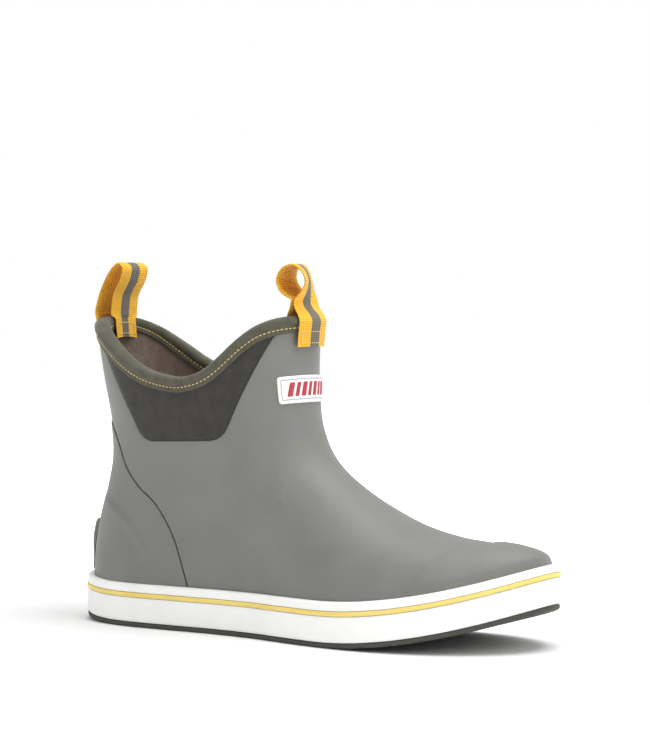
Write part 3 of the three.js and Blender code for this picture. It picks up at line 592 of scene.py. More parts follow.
def gridMesh():
    bm = bmesh.new()
    levelLayer = bm.verts.layers.float.new("level")
    turnLayer = bm.verts.layers.float.new("turn")
    rows = []
    for level in np.linspace(0, topLevel, topLevel * wallGrid["perLevel"] + 1):
        row = []
        for turn in turnsRound(wallGrid["around"]):
            vert = bm.verts.new((0, 0, 0))
            vert[levelLayer] = level
            vert[turnLayer] = turn
            row.append(vert)
        rows.append(row)
    for low, high in zip(rows[:-1], rows[1:]):
        for i in range(len(low)):
            j = (i + 1) % len(low)
            bm.faces.new((low[i], low[j], high[j], high[i]))
    return bm


def coordinates(bm):
    levelLayer = bm.verts.layers.float["level"]
    turnLayer = bm.verts.layers.float["turn"]
    return (np.array([v[levelLayer] for v in bm.verts]), np.array([v[turnLayer] for v in bm.verts]))


def splitAlong(bm, which, value):
    # cuts the grid's faces along the line at this distance from an outline
    level, turn = coordinates(bm)
    bm.verts.index_update()
    away = distanceTo(which, level, turn) - value
    levelLayer = bm.verts.layers.float["level"]
    turnLayer = bm.verts.layers.float["turn"]
    onLine = {v for v in bm.verts if abs(away[v.index]) < 0.03}
    crossing = []
    for edge in bm.edges:
        a, b = edge.verts
        if a in onLine or b in onLine or abs(a[turnLayer] - b[turnLayer]) > 1:
            continue
        if away[a.index] * away[b.index] < 0:
            crossing.append((edge, a, b, away[a.index] / (away[a.index] - away[b.index])))
    for edge, a, b, share in crossing:
        fresh = bmesh.utils.edge_split(edge, a, share)[1]
        fresh[levelLayer] = lerp(a[levelLayer], b[levelLayer], share)
        fresh[turnLayer] = lerp(a[turnLayer], b[turnLayer], share)
        onLine.add(fresh)
    bm.faces.index_update()
    for face in sorted({f for v in onLine for f in v.link_faces}, key=lambda f: f.index):
        marked = [v for v in face.verts if v in onLine]
        if len(marked) != 2:
            continue
        a, b = marked
        if not any(e.other_vert(a) == b for e in a.link_edges):
            bmesh.utils.face_split(face, a, b)


def sheetPiece(name, keep, offset, thickness, body, material, nodes=(), cuts=()):
    # keep says which faces stay, from their middle's level and turn; offset moves points outwards
    bm = gridMesh()
    for which, value in cuts:
        splitAlong(bm, which, value)
    level, turn = coordinates(bm)
    bm.verts.index_update()
    faces = list(bm.faces)
    index = [[v.index for v in face.verts] for face in faces]
    middleLevel = np.array([level[i].mean() for i in index])
    middleTurn = np.array([turn[i].mean() if np.ptp(turn[i]) < 1 else pi for i in index])
    stays = keep(middleLevel, middleTurn)
    bmesh.ops.delete(bm, geom=[f for f, stay in zip(faces, stays) if not stay], context="FACES")
    level, turn = coordinates(bm)
    place = outside(level, turn) + outwardAt(level, turn) * offset(level, turn)[:, None]
    for vert, co in zip(bm.verts, place * mm):
        vert.co = co
    mesh = bpy.data.meshes.new(name)
    bm.to_mesh(mesh)
    bm.free()
    piece = bpy.data.objects.new(name, mesh)
    bpy.context.scene.collection.objects.link(piece)
    mesh.materials.append(materials[material])
    applyModifier(piece, "SOLIDIFY", thickness=thickness * mm, offset=-1, use_even_offset=False)
    declare(piece, body, nodes)
    outwards(piece)
    finishSmooth(piece)
    return piece


def rolled(distance, radius):
    # how far an edge of this radius falls away, near the edge
    near = np.clip(1 - distance / radius, 0, 1)
    return radius * 0.7 * (1 - np.sqrt(1 - near ** 2 * 0.999))


ridges = {
    "toe": {"height": 0.9, "width": 3.2, "bead": 0.4, "front": 115, "sweep": 30, "halfWidth": 48},
    "counter": {"height": 1.2, "width": 4.0, "bead": 0.35, "centre": (-150, 20),
                "radii": (71, 58), "fadeFrom": 8, "fadeTo": 32},
}


def raisedStep(past, values):
    # a soft step with a faint bead along its top
    bead = values["bead"] * np.exp(-((past - values["width"]) / 1.6) ** 2)
    return values["height"] * smoothstep(past, 0, values["width"]) + bead


def toeRidge(level, turn):
    # the stiffener behind the toe shows as a soft step across it
    place = outside(level, turn)
    values = ridges["toe"]
    aside = np.abs(place[:, 1] - toeShift(place[:, 0]))
    edge = values["front"] - values["sweep"] * smoothstep(aside, 0, values["halfWidth"])
    return raisedStep(place[:, 0] - edge, values)


def counterRidge(level, turn):
    # the heel's stiffener shows in the same way, and fades towards the back of the heel
    place = outside(level, turn)
    values = ridges["counter"]
    (cx, cz), (rx, rz) = values["centre"], values["radii"]
    reach = np.hypot((place[:, 0] - cx) / rx, (place[:, 2] - cz) / rz)
    shown = smoothstep(place[:, 0], heelX + values["fadeFrom"], heelX + values["fadeTo"])
    return shown * raisedStep((1 - reach) * rz, values)


shell = {"thickness": 1.5, "gussetRoll": 0.8, "heelRoll": 0.5, "heelGap": 0.15}


def shellOffset(level, turn):
    gusset = distanceTo("gusset", level, turn)
    heel = distanceTo("heel", level, turn)
    offset = toeRidge(level, turn) - rolled(np.maximum(gusset, 0), shell["gussetRoll"])
    offset -= rolled(np.maximum(heel - shell["heelGap"], 0), shell["heelRoll"])
    # the rubber is drawn in a little round the window's seam
    return offset - 0.35 * (1 - smoothstep(gusset, 0, 5)) - 0.15 * (1 - smoothstep(heel, 0, 3))


def isShell(level, turn):
    return ((distanceTo("gusset", level, turn) > 0)
            & (distanceTo("heel", level, turn) > shell["heelGap"]))


sheetPiece(
    "upper_shell_skin", isShell,
    shellOffset, shell["thickness"], "boot", "upper", ("upper_shell",),
    (("gusset", 0), ("gusset", 0.3), ("gusset", 0.8), ("heel", shell["heelGap"]), ("heel", 0.6)))

heelSkin = {"thickness": 1.7, "proud": 0.5, "roll": 0.6}


def heelOffset(level, turn):
    heel = -distanceTo("heel", level, turn)
    gusset = distanceTo("gusset", level, turn)
    offset = heelSkin["proud"] * (1 - 0.6 * smoothstep(heel, 2, 16))
    offset = offset - rolled(np.maximum(heel, 0), heelSkin["roll"])
    return offset + counterRidge(level, turn) - rolled(np.maximum(gusset, 0), shell["gussetRoll"])


def isHeelPanel(level, turn):
    return (distanceTo("heel", level, turn) < 0) & (distanceTo("gusset", level, turn) > 0)


sheetPiece(
    "heel_panel_skin", isHeelPanel,
    heelOffset, heelSkin["thickness"], "boot", "upper", ("heel_panel",),
    (("heel", 0), ("heel", -0.25), ("heel", -0.6), ("gusset", 0)))

gussetPanel = {"thickness": 2.9, "sink": 1.25, "rest": 0.25, "edge": 2.2, "inset": 0.25}


def gussetOffset(level, turn):
    inner = -distanceTo("gusset", level, turn)
    values = gussetPanel
    puff = values["sink"] - (values["sink"] - values["rest"]) * np.sqrt(
        np.clip(inner / values["edge"], 0, 1))
    return -puff + 0.5 * smoothstep(inner, 2, 22)


for name, side in (("outer", 1), ("inner", -1)):
    sheetPiece(
        "gusset_" + name + "_knit",
        lambda level, turn: (distanceTo("gusset", level, turn) < -gussetPanel["inset"])
        & (np.sin(turn) * side > 0),
        gussetOffset, gussetPanel["thickness"], "boot", "gusset",
        ("gusset_" + name,),
        (("gusset", -gussetPanel["inset"]), ("gusset", -0.7), ("gusset", -1.4)))
print("upper ready")


# sock lining

lining = {"around": 200, "rows": 90, "fromLevel": 0.35, "easing": 0.1}


def liningPiece():
    depth = layers["lining"] + lining["easing"]
    turns = turnsRound(lining["around"])
    heights = np.linspace(lining["fromLevel"], topLevel, lining["rows"])
    rows = [outside(level, turns) - outwardAt(level, turns) * depth for level in heights]
    inside = [outside(level, turns) - outwardAt(level, turns)
              * (depth + layers["cloth"] - lining["easing"]) for level in heights[::-1]]
    outerFloor = rows[0].copy()
    outerFloor[:, 2] = soleRise(outerFloor[:, 0]) + sole["sock"]
    innerFloor = inside[-1].copy()
    innerFloor[:, 2] = soleRise(innerFloor[:, 0]) + sole["sock"] + layers["cloth"]
    return ringPiece("lining_cloth", [outerFloor] + rows + inside + [innerFloor], "boot",
                     "lining", ("lining",), closedRows=False, fill=True)


liningPiece()


def wallStrip(levelFrom, levelTo, turns, out, rows):
    # rows of points beside the upper's outer shape, a distance out of it
    return np.array([outside(level, turns) + outwardAt(level, turns) * out
                     for level in np.linspace(levelFrom, levelTo, rows)])


def turnsAcross(level, middle, width, count):
    # evenly spread turns that reach over a width on both sides of a middle
    centre = outside(level, middle)

    def reach(direction):
        turn = middle
        while np.linalg.norm(outside(level, turn) - centre) < width / 2:
            turn += direction * 0.002
        return turn

    return np.linspace(reach(-1), reach(1), count)


def sheetNormals(grid):
    across = unit(np.gradient(grid, axis=1))
    along = unit(np.gradient(grid, axis=0))
    return unit(np.cross(across, along))


def stripPiece(name, grid, thickness, body, material, nodes=()):
    # a strip of even thickness with rounded edges, from rows of points on its middle surface
    normal = sheetNormals(grid)
    share = np.linspace(-1, 1, grid.shape[1])
    half = thickness / 2 * np.sqrt(np.clip(1 - np.abs(share) ** 12, 0.02, 1))
    front = grid + normal * half[None, :, None]
    back = (grid - normal * half[None, :, None])[:, ::-1]
    rings = np.concatenate([front, back], 1)
    return ringPieceStrip(name, rings, body, material, nodes)


def ringPieceStrip(name, rings, body, material, nodes):
    # a closed strip: each ring runs over the front and back again, and both ends are filled
    rows, count = rings.shape[:2]
    faces = ringFaces(rows, count, False)
    half = count // 2
    for start in (0, (rows - 1) * count):
        for i in range(half - 1):
            faces.append((start + i, start + i + 1, start + count - 2 - i, start + count - 1 - i))
    piece = newPiece(name, rings, faces, body, material, nodes)
    bm = bmesh.new()
    bm.from_mesh(piece.data)
    bmesh.ops.recalc_face_normals(bm, faces=bm.faces)
    bm.to_mesh(piece.data)
    bm.free()
    outwards(piece)
    finishSmooth(piece)
    return piece


tape = {"width": 14, "thickness": 0.6, "depth": 6.2}
tapeTurns = turnsAcross(8, 0, tape["width"], 9)
stripPiece("back_seam_twill_tape", wallStrip(3, topLevel - 1.4, tapeTurns, -tape["depth"], 60),
           tape["thickness"], "boot", "tape", ("back_seam_tape",))
print("lining ready")


# collar: a folded binding with a soft roll above its stitch line

collar = {"around": 420, "stitchDepth": 3.8, "stitchPitch": 2.6, "stitchLength": 1.9,
          "thread": 0.62}
collarProfile = [
    # out of the wall and above the edge: up the outer face, over the roll, down the inner face
    (0.35, -6.4), (0.9, -6.45), (1.25, -6.1), (1.3, -5.2), (1.15, -4.3), (1.05, -3.8), (1.2, -3.2),
    (1.75, -2.3), (2.0, -1.1), (1.85, 0.2), (1.2, 1.25), (-0.1, 1.85), (-2.65, 2.05), (-5.2, 1.85),
    (-6.5, 1.25), (-7.15, 0.2), (-7.3, -1.1), (-7.05, -2.3), (-6.6, -3.2), (-6.45, -3.8),
    (-6.55, -4.3), (-6.75, -5.2), (-6.7, -6.1), (-6.3, -6.45), (-5.8, -6.4), (-5.75, 0.25),
    (0.3, 0.25)]


def collarFrame(turns):
    base = outside(topLevel, turns)
    out = outwardAt(topLevel, turns)
    ahead = unit(outside(topLevel, turns + 0.02) - outside(topLevel, turns - 0.02))
    above = unit(np.cross(out, ahead))
    return base, out, ahead, above


def collarBinding():
    turns = turnsRound(collar["around"])
    base, out, ahead, above = collarFrame(turns)
    ripple = 0.08 * np.sin(turns * 47) + 0.06 * np.sin(turns * 81 + 1)
    rings = []
    for away, up in collarProfile:
        swell = ripple * (1 if up > -3.4 else 0.3)
        sign = 1 if away > -2.65 else -1
        rings.append(base + out * (away + sign * swell)[:, None] + above * up)
    return ringPiece("collar_folded_binding", rings, "boot", "binding",
                     ("collar_binding",))


collarBinding()


def stitchShape():
    # one stitch: a short soft bead of thread, modelled once
    bpy.ops.object.select_all(action="DESELECT")
    bpy.ops.mesh.primitive_uv_sphere_add(segments=7, ring_count=6, radius=0.5)
    bead = bpy.context.object
    bpy.ops.object.mode_set(mode="EDIT")
    bpy.ops.mesh.select_all(action="SELECT")
    bpy.ops.transform.rotate(value=pi / 2, orient_axis="Y", center_override=(0, 0, 0))
    bpy.ops.object.mode_set(mode="OBJECT")
    points = np.array([v.co for v in bead.data.vertices])
    faces = [tuple(p.vertices) for p in bead.data.polygons]
    bpy.data.objects.remove(bead)
    return points, faces


beadPoints, beadFaces = stitchShape()


def stitchRow(name, places, along, away, length, size, material, nodes=(), flat=0.8):
    side = unit(np.cross(away, along))
    points, faces = [], []
    for place, a, n, s in zip(places, unit(along), unit(away), side):
        start = len(points)
        for x, y, z in beadPoints:
            points.append(place + a * x * length + s * y * size + n * z * size * flat)
        faces += [tuple(i + start for i in face) for face in beadFaces]
    piece = newPiece(name, points, faces, "boot", material, nodes)
    outwards(piece)
    finishSmooth(piece, 80)
    return piece


def collarStitches(name, away, sign, node):
    fine = turnsRound(4000)
    line = outside(topLevel, fine)
    run = np.cumsum(np.linalg.norm(np.roll(line, -1, 0) - line, axis=1))
    count = int(run[-1] / collar["stitchPitch"])
    turns = np.interp((np.arange(count) + 0.5) * run[-1] / count, run, fine)
    base, out, ahead, above = collarFrame(turns)
    place = base + out * away - above * collar["stitchDepth"]
    return stitchRow(name, place, ahead, out * sign, collar["stitchLength"], collar["thread"],
                     "thread", (node,))


collarStitches("collar_stitches_outer", 1.2, 1, "collar_thread_outer")
collarStitches("collar_stitches_inner", -6.6, -1, "collar_thread_inner")
print("collar ready")


# sole unit

def roundedSection(corners, steps=4):
    # a closed section from corners (out, height, level, radius), each rounded by its radius
    points = []
    values = [np.array(corner, float) for corner in corners]
    for i, corner in enumerate(values):
        before, after = values[i - 1], values[(i + 1) % len(values)]
        here, radius = corner[:3], corner[3]
        if radius == 0:
            points.append(here)
            continue
        reaches = []
        for other in (before, after):
            toward = other[:3] - here
            length = np.linalg.norm(toward[:2])
            reaches.append(here + toward / length * min(radius, length * 0.48))
        for t in np.linspace(0, 1, steps + 1):
            points.append((1 - t) ** 2 * reaches[0] + 2 * t * (1 - t) * here + t * t * reaches[1])
    return points


def soleRings(section, turns):
    rings = []
    for out, height, level in section:
        ring = outside(level, turns) + outwardAt(level, turns, flat=True) * out
        ring[:, 2] = soleRise(ring[:, 0]) + height
        rings.append(ring)
    return rings


def foxingBand():
    half = sole["stripeWidth"] / 2 + edgeGap
    low, high = sole["stripe"] - half, sole["stripe"] + half
    face, deep = sole["band"], sole["band"] - sole["stripeDepth"]
    corners = [
        (0.3, sole["bandBottom"], 0, 0), (face - 0.5, sole["bandBottom"], 0, 0.5),
        (face + 0.05, sole["bandBottom"] + 1.6, 0, 1.2), (face + 0.12, 11, 0, 3),
        (face, low, 0, 0.35), (deep, low, 0, 0), (deep, high, 0, 0), (face, high, 0, 0.35),
        (face - 0.35, sole["bandTop"] - 0.9, 0, 0.8), (face - 1.5, sole["bandTop"], 0, 0.8),
        (0.25, sole["bandTop"] - 0.1, 1, 0), (0.3, sole["board"], 0, 0)]
    return ringPiece("foxing_band_rubber", soleRings(roundedSection(corners), turnsRound(360)),
                     "boot", "white", ("foxing_band",))


def foxingStripe():
    inner = sole["band"] - sole["stripeDepth"] + edgeGap
    outer = sole["band"] + sole["stripeProud"]
    half = sole["stripeWidth"] / 2
    middle = sole["stripe"]
    corners = [(inner, middle + half, 0, 0), (outer, middle + half, 0, 0.5),
               (outer + 0.12, middle, 0, 0.6), (outer, middle - half, 0, 0.5),
               (inner, middle - half, 0, 0)]
    return ringPiece("foxing_stripe_rubber", soleRings(roundedSection(corners), turnsRound(360)),
                     "boot", "stripe", ("foxing_stripe",))


tread = {"depth": 2.4, "groove": 2.6, "pitch": 14.5, "sweep": 0.45, "landHalf": 12, "margin": 6,
         "sipe": 0.9, "sipeDepth": 1.3, "arm": 60}


def chevronCutter(x, width, depth):
    # a V-shaped groove across the sole: a thin block bent at its middle
    arm = tread["arm"]
    bpy.ops.object.select_all(action="DESELECT")
    bpy.ops.mesh.primitive_cube_add(size=1, location=(0, 0, 0))
    block = bpy.context.object
    block.scale = (width * mm, 2 * arm * mm, 8 * mm)
    bpy.ops.object.transform_apply(location=False, rotation=False, scale=True)
    bpy.ops.object.mode_set(mode="EDIT")
    bpy.ops.mesh.select_all(action="SELECT")
    bpy.ops.mesh.bisect(plane_co=(0, 0, 0), plane_no=(0, 1, 0))
    bm = bmesh.from_edit_mesh(block.data)
    for vert in bm.verts:
        vert.co.x += (arm * mm * 0.3 - abs(vert.co.y)) * tread["sweep"]
        vert.co.z += (depth - 4) * mm
    bmesh.update_edit_mesh(block.data)
    bpy.ops.object.mode_set(mode="OBJECT")
    slope = float(soleRise(x + 6) - soleRise(x - 6)) / 12
    block.rotation_euler = (0, -math.atan(slope), 0)
    block.location = (x * mm, 0, float(soleRise(x)) * mm)
    bpy.ops.object.transform_apply(location=True, rotation=True, scale=True)
    return block


def solidRings(name, rings):
    # a plain closed solid between rings of points, for cutting with
    rings = np.asarray(rings)
    mesh = bpy.data.meshes.new(name)
    mesh.from_pydata((rings.reshape(-1, 3) * mm).tolist(), [],
                     ringFaces(len(rings), rings.shape[1], False, True))
    solid = bpy.data.objects.new(name, mesh)
    bpy.context.scene.collection.objects.link(solid)
    outwards(solid)
    return solid


def outsole():
    face = sole["band"]
    section = [(-0.3, 4.9, 0), (-0.3, 2.75, 0), (face - 0.7, 2.7, 0), (face - 0.25, 2.55, 0),
               (face - 0.1, 2.1, 0), (face - 0.15, 1.2, 0), (face - 0.5, 0.5, 0),
               (face - 1.1, 0.12, 0), (face - 1.8, 0, 0)]
    piece = ringPiece("outsole_tread", soleRings(section, turnsRound(240)), "boot",
                      "tread", ("outsole",), closedRows=False, fill=True)
    cutters = []
    for x in np.arange(heelX + tread["pitch"], toeX - tread["margin"], tread["pitch"]):
        if abs(x) >= tread["landHalf"]:
            cutters.append(chevronCutter(x, tread["groove"], tread["depth"]))
        if abs(x + tread["pitch"] / 2) >= tread["landHalf"]:
            cutters.append(chevronCutter(x + tread["pitch"] / 2, tread["sipe"], tread["sipeDepth"]))
    bpy.ops.object.select_all(action="DESELECT")
    for cutter in cutters:
        cutter.select_set(True)
    bpy.context.view_layer.objects.active = cutters[0]
    bpy.ops.object.join()
    joined = bpy.context.object
    out = face - tread["margin"]
    field = solidRings("treadField", soleRings([(out, -6, 0), (out, 4.5, 0)], turnsRound(120)))
    applyModifier(joined, "BOOLEAN", operation="INTERSECT", object=field, solver="EXACT")
    applyModifier(piece, "BOOLEAN", operation="DIFFERENCE", object=joined, solver="EXACT")
    bpy.data.objects.remove(joined)
    bpy.data.objects.remove(field)
    finishSmooth(piece, 30)
    return piece


foxingBand()
foxingStripe()
outsole()

kickTab = {"top": 58.5, "low": 29.5, "half": 17, "proud": 3.6, "level": 3, "buried": 0.72}


def heelKickTab():
    # a wedge of rubber with a flat ledge on top, fading into the heel at its foot and sides
    values = kickTab
    rows, columns = 46, 49
    share = np.linspace(-1, 1, columns)
    turns = turnsAcross(values["level"], 0, 2 * values["half"], columns)
    outer, inner = [], []
    for height in np.linspace(values["low"], values["top"], rows):
        level = np.interp(height, levelRear(np.arange(topLevel + 1)), np.arange(topLevel + 1))
        base = outside(level, turns)
        normal = outwardAt(level, turns, flat=True)
        rise = (height - values["low"]) / (values["top"] - values["low"])
        side = np.sqrt(np.clip(1 - np.abs(share) ** 5, 0.0, 1))
        lip = 1 - 0.25 * np.clip((rise - 0.96) / 0.04, 0, 1)
        out = 0.75 + (values["proud"] - 0.55) * smoothstep(rise, 0, 0.75) * side * lip
        outer.append(base + normal * out[:, None])
        inner.append(base + normal * values["buried"])
    rings = np.concatenate([np.array(outer), np.array(inner)[:, ::-1]], 1)
    return ringPieceStrip("heel_kick_ledge", rings, "boot", "upper",
                          ("heel_kick_tab",))


heelKickTab()
print("sole ready")


# pull loops: one strap each, sewn to both faces of the collar

webbing = {"width": 25, "thickness": 1.5, "rib": 1.25, "ribDepth": 0.16}
strapOut, strapIn = 3.25, -8.7
collarWall = 5.3
loops = {
    "front": {"turn": pi, "outerEnd": 17, "innerEnd": 12, "pinchRise": 9, "spread": 2.1,
              "break": 2.4, "lean": 2,
              "shape": [(0, 0, 0.05), (-1.5, 4.8, 0.3), (-2, 10, 0.42), (0, 15.4, 0.4),
                        (4.5, 18.7, 0.3), (10, 16.8, 0.2), (12.5, 11, 0.1), (9, 4.2, 0),
                        (0, 0, 0)]},
    "rear": {"turn": 0.0, "outerEnd": 14, "innerEnd": 13, "pinchRise": 2.6, "spread": 11.8,
             "break": 3, "lean": 0.5,
             "shape": [(0, 0, 0), (1, 8.5, 0), (3.5, 17, 0), (7, 23.7, 0), (11, 27.1, 0),
                       (15, 24.7, 0), (15, 18, 0), (11.5, 8.5, 0), (0, 0, 0)]},
}
strapColumns = 25
acrossShare = np.linspace(-0.5, 0.5, strapColumns)


def catmull(points, steps, alpha=0.5):
    # a smooth line through control rows; points is (rows, ...), steps between neighbours
    points = np.asarray(points, float)
    flat = points.reshape(len(points), -1)
    knots = np.concatenate([[0], np.cumsum(np.linalg.norm(np.diff(flat, axis=0), axis=1) ** alpha)])
    slopes = np.gradient(flat, knots, axis=0)
    fine = np.interp(np.linspace(0, len(points) - 1, (len(points) - 1) * steps + 1),
                     np.arange(len(points)), knots)
    i = np.clip(np.searchsorted(knots, fine, side="right") - 1, 0, len(points) - 2)
    span = (knots[i + 1] - knots[i])[:, None]
    t = ((fine - knots[i]) / span[:, 0])[:, None]
    result = ((2 * t ** 3 - 3 * t ** 2 + 1) * flat[i] + (t ** 3 - 2 * t ** 2 + t) * span * slopes[i]
              + (3 * t ** 2 - 2 * t ** 3) * flat[i + 1] + (t ** 3 - t ** 2) * span * slopes[i + 1])
    return result.reshape((-1,) + points.shape[1:])


def loopSeat(loop):
    edge = outside(topLevel, loop["turn"])
    inward = -outwardAt(topLevel, loop["turn"], flat=True)
    across = np.cross((0, 0, 1), inward)
    return edge + inward * collarWall / 2, inward, across


def loopPoint(seat, inwards, up, turned=0.0):
    middle, inward, across = seat
    sideways = -acrossShare[:, None] * webbing["width"]
    return (middle + inward * (inwards - sideways * math.sin(turned))
            + across * sideways * math.cos(turned) + np.array([0, 0, up]))


def sewnRows(loop, outer):
    seat = loopSeat(loop)
    # the end sewn to one face of the collar, then up to where the two ends meet
    out = strapOut if outer else strapIn
    drop = loop["outerEnd"] if outer else loop["innerEnd"]
    turns = turnsAcross(topLevel, loop["turn"], webbing["width"], strapColumns)
    rows = list(wallStrip(topLevel - drop / last["levelPitch"], topLevel, turns, out, 5))
    sign = -1 if outer else 1
    top = loopPoint(seat, loop["lean"] + sign * loop["spread"] / 2, loop["pinchRise"])
    for share in (0.35, 0.7, 1):
        row = lerp(rows[4], top, float(smoothstep(share, 0, 1)))
        row[:, 2] = lerp(rows[4][:, 2], top[:, 2], share)
        rows.append(row)
    return rows


def loopRows(loop):
    seat = loopSeat(loop)
    shape = loop["shape"]
    spots = []
    for i, (inwards, up, turned) in enumerate(shape):
        base = inwards - loop["spread"] / 2 * (1 - up / 30)
        if i in (0, len(shape) - 1):
            base = loop["spread"] / 2 * (1 if i else -1)
        spots.append((loop["lean"] + base, loop["pinchRise"] + loop["break"] + up, turned * 10))
    line = catmull(spots, 3)
    return [loopPoint(seat, inwards, up, turned / 10) for inwards, up, turned in line]


def strapPiece(name, loop, child, nodes):
    rows = catmull(sewnRows(loop, True) + loopRows(loop) + sewnRows(loop, False)[::-1], 8)
    middle = rows[:, strapColumns // 2]
    run = np.concatenate([[0], np.cumsum(np.linalg.norm(np.diff(middle, axis=0), axis=1))])
    count = int(run[-1] / webbing["rib"] * 5)
    even = np.linspace(0, run[-1], count)
    flat = rows.reshape(len(rows), -1)
    grid = np.stack([np.interp(even, run, flat[:, k]) for k in range(flat.shape[1])], 1)
    grid = grid.reshape(count, strapColumns, 3)
    normal = sheetNormals(grid)
    if (normal[0, strapColumns // 2] * outwardAt(topLevel, loop["turn"])).sum() < 0:
        normal = -normal
    rib = webbing["ribDepth"] * (0.5 + 0.5 * np.cos(even / webbing["rib"] * 2 * pi))
    share = np.abs(acrossShare) * 2
    crown = np.sqrt(np.clip(1 - share ** 14, 0.05, 1))
    half = (webbing["thickness"] / 2 + rib - webbing["ribDepth"])[:, None] * crown[None, :]
    stripeEdge = 0.1 * np.exp(-((share * 12.5 - 4.2) / 0.5) ** 2)
    front = grid + normal * (half - stripeEdge[None, :])[..., None]
    back = (grid - normal * half[..., None])[:, ::-1]
    rings = np.concatenate([front, back], 1)
    piece = ringPieceStrip(name, rings, None, "webbing", ())
    layer = piece.data.uv_layers.new(name="strap")
    ringCount = 2 * strapColumns
    sideways = acrossShare * webbing["width"] * mm
    # the inner face is set 0.1 m off, so the stripe is on the outer face alone
    u = np.concatenate([sideways, sideways[::-1] + 0.1])
    v = even * mm
    for loopCorner in piece.data.loops:
        row, column = divmod(loopCorner.vertex_index, ringCount)
        layer.data[loopCorner.index].uv = (u[column], v[row])
    hinge = [j for j in frame["joints"] if j["child"] == child][0]["pos_m"]
    start = (hinge[0], hinge[1], hinge[2] - 3.5 * mm)
    end = (hinge[0], hinge[1], hinge[2] + 4 * mm)
    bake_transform(piece, "boot", child, start=start, end=end)
    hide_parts(*nodes)
    return piece


strapPiece("front_pull_strap", loops["front"], "front_pull",
           ("front_loop", "front_loop_outer_end", "front_loop_inner_end"))
strapPiece("rear_pull_strap", loops["rear"], "rear_pull",
           ("rear_loop", "rear_loop_outer_end", "rear_loop_inner_end"))


tackBox = {"half": 10.2, "tall": 7.5, "pitch": 1.9, "fromEnd": 2.2, "stitch": 1.5, "thread": 0.6}


def tackStitches(name, loop, outer, node):
    # a sewn box that holds the end of a strap down
    box = tackBox
    lift = webbing["thickness"] / 2 + 0.05
    out = strapOut + lift if outer else strapIn - lift
    drop = (loop["outerEnd"] if outer else loop["innerEnd"]) - box["fromEnd"]
    spots = []
    for k in np.arange(-box["half"], box["half"] + 0.01, box["pitch"]):
        spots += [(k, 0, 0), (k, box["tall"], 0)]
    for k in np.arange(box["pitch"] * 0.7, box["tall"] - 1, box["pitch"]):
        spots += [(-box["half"] - 0.3, k, 1), (box["half"] + 0.3, k, 1)]
    turns = turnsAcross(topLevel, loop["turn"], webbing["width"], 101)
    places, along, away = [], [], []
    for sideways, up, upright in spots:
        turn = np.interp(sideways, np.linspace(-0.5, 0.5, 101) * webbing["width"], turns)
        level = topLevel - (drop - up) / last["levelPitch"]
        normal = outwardAt(level, turn)
        places.append(outside(level, turn) + normal * out)
        ahead = outside(level, turn + 0.01) - outside(level, turn - 0.01)
        rise = outside(level, turn) - outside(level - 0.2, turn)
        along.append(rise if upright else ahead)
        away.append(normal * (1 if outer else -1))
    return stitchRow(name, np.array(places), np.array(along), np.array(away), box["stitch"],
                     box["thread"], "thread", (node,))


for which in ("front", "rear"):
    for where in ("outer", "inner"):
        tackStitches(which + "_strap_tack_" + where, loops[which], where == "outer",
                     which + "_tack_" + where)
print("loops ready")


# badge with a plain red mark

badge = {"level": 11.35, "halfWidth": 22, "height": 14, "thickness": 0.9, "corner": 1.4,
         "lift": 0.35, "inset": 1.5, "ink": 0.35, "bars": 7, "markWidth": 33.0, "barHeight": 7.2,
         "lean": 0.32}


def onBadge(across, up, out):
    # a place on the badge, from its middle: across and up in millimetres, out of the wall
    turns = turnsAcross(badge["level"], pi, 2 * badge["halfWidth"], 201)
    turn = np.interp(across, np.linspace(-badge["halfWidth"], badge["halfWidth"], 201), turns)
    level = badge["level"] + up / last["levelPitch"]
    return outside(level, turn) + outwardAt(level, turn) * np.asarray(out)[..., None]


def roundedPlate(halfWidth, halfHeight, corner, cell=0.5):
    # a flat grid with rounded corners: places across and up, and the distance in from the edge
    a = np.linspace(-1, 1, int(2 * halfWidth / cell) + 1)
    b = np.linspace(-1, 1, int(2 * halfHeight / cell) + 1)
    x, y = np.meshgrid(a * halfWidth, b * halfHeight)
    u = np.clip((np.abs(x) - halfWidth + corner) / corner, 0, 1)
    v = np.clip((np.abs(y) - halfHeight + corner) / corner, 0, 1)
    roundX = np.sign(x) * (halfWidth - corner + corner * u * np.sqrt(1 - v * v / 2))
    roundY = np.sign(y) * (halfHeight - corner + corner * v * np.sqrt(1 - u * u / 2))
    x, y = np.where(u * v > 0, roundX, x), np.where(u * v > 0, roundY, y)
    fromCorner = np.hypot(np.maximum(np.abs(x) - halfWidth + corner, 0),
                          np.maximum(np.abs(y) - halfHeight + corner, 0))
    straight = np.minimum(halfWidth - np.abs(x), halfHeight - np.abs(y))
    inFrom = np.where(fromCorner > 0, np.minimum(corner - fromCorner, straight), straight)
    return x, y, np.maximum(inFrom, 0)


def plateShell(top, low, start):
    # points and faces of a closed plate between two grids of places
    rows, columns = top.shape[:2]
    half = rows * columns
    faces = []
    for r in range(rows - 1):
        for c in range(columns - 1):
            a = start + r * columns + c
            quad = (a, a + 1, a + columns + 1, a + columns)
            faces += [quad, tuple(i + half for i in reversed(quad))]
    rim = [(0, c) for c in range(columns)] + [(r, columns - 1) for r in range(1, rows)]
    rim += [(rows - 1, c) for c in range(columns - 2, -1, -1)]
    rim += [(r, 0) for r in range(rows - 2, 0, -1)]
    rim = [start + r * columns + c for r, c in rim]
    faces += [(b, a, a + half, b + half) for a, b in zip(rim, rim[1:] + rim[:1])]
    return list(top.reshape(-1, 3)) + list(low.reshape(-1, 3)), faces


def badgePiece(name, points, faces, material, node):
    piece = newPiece(name, points, faces, "boot", material, (node,))
    outwards(piece)
    finishSmooth(piece, 50)
    return piece


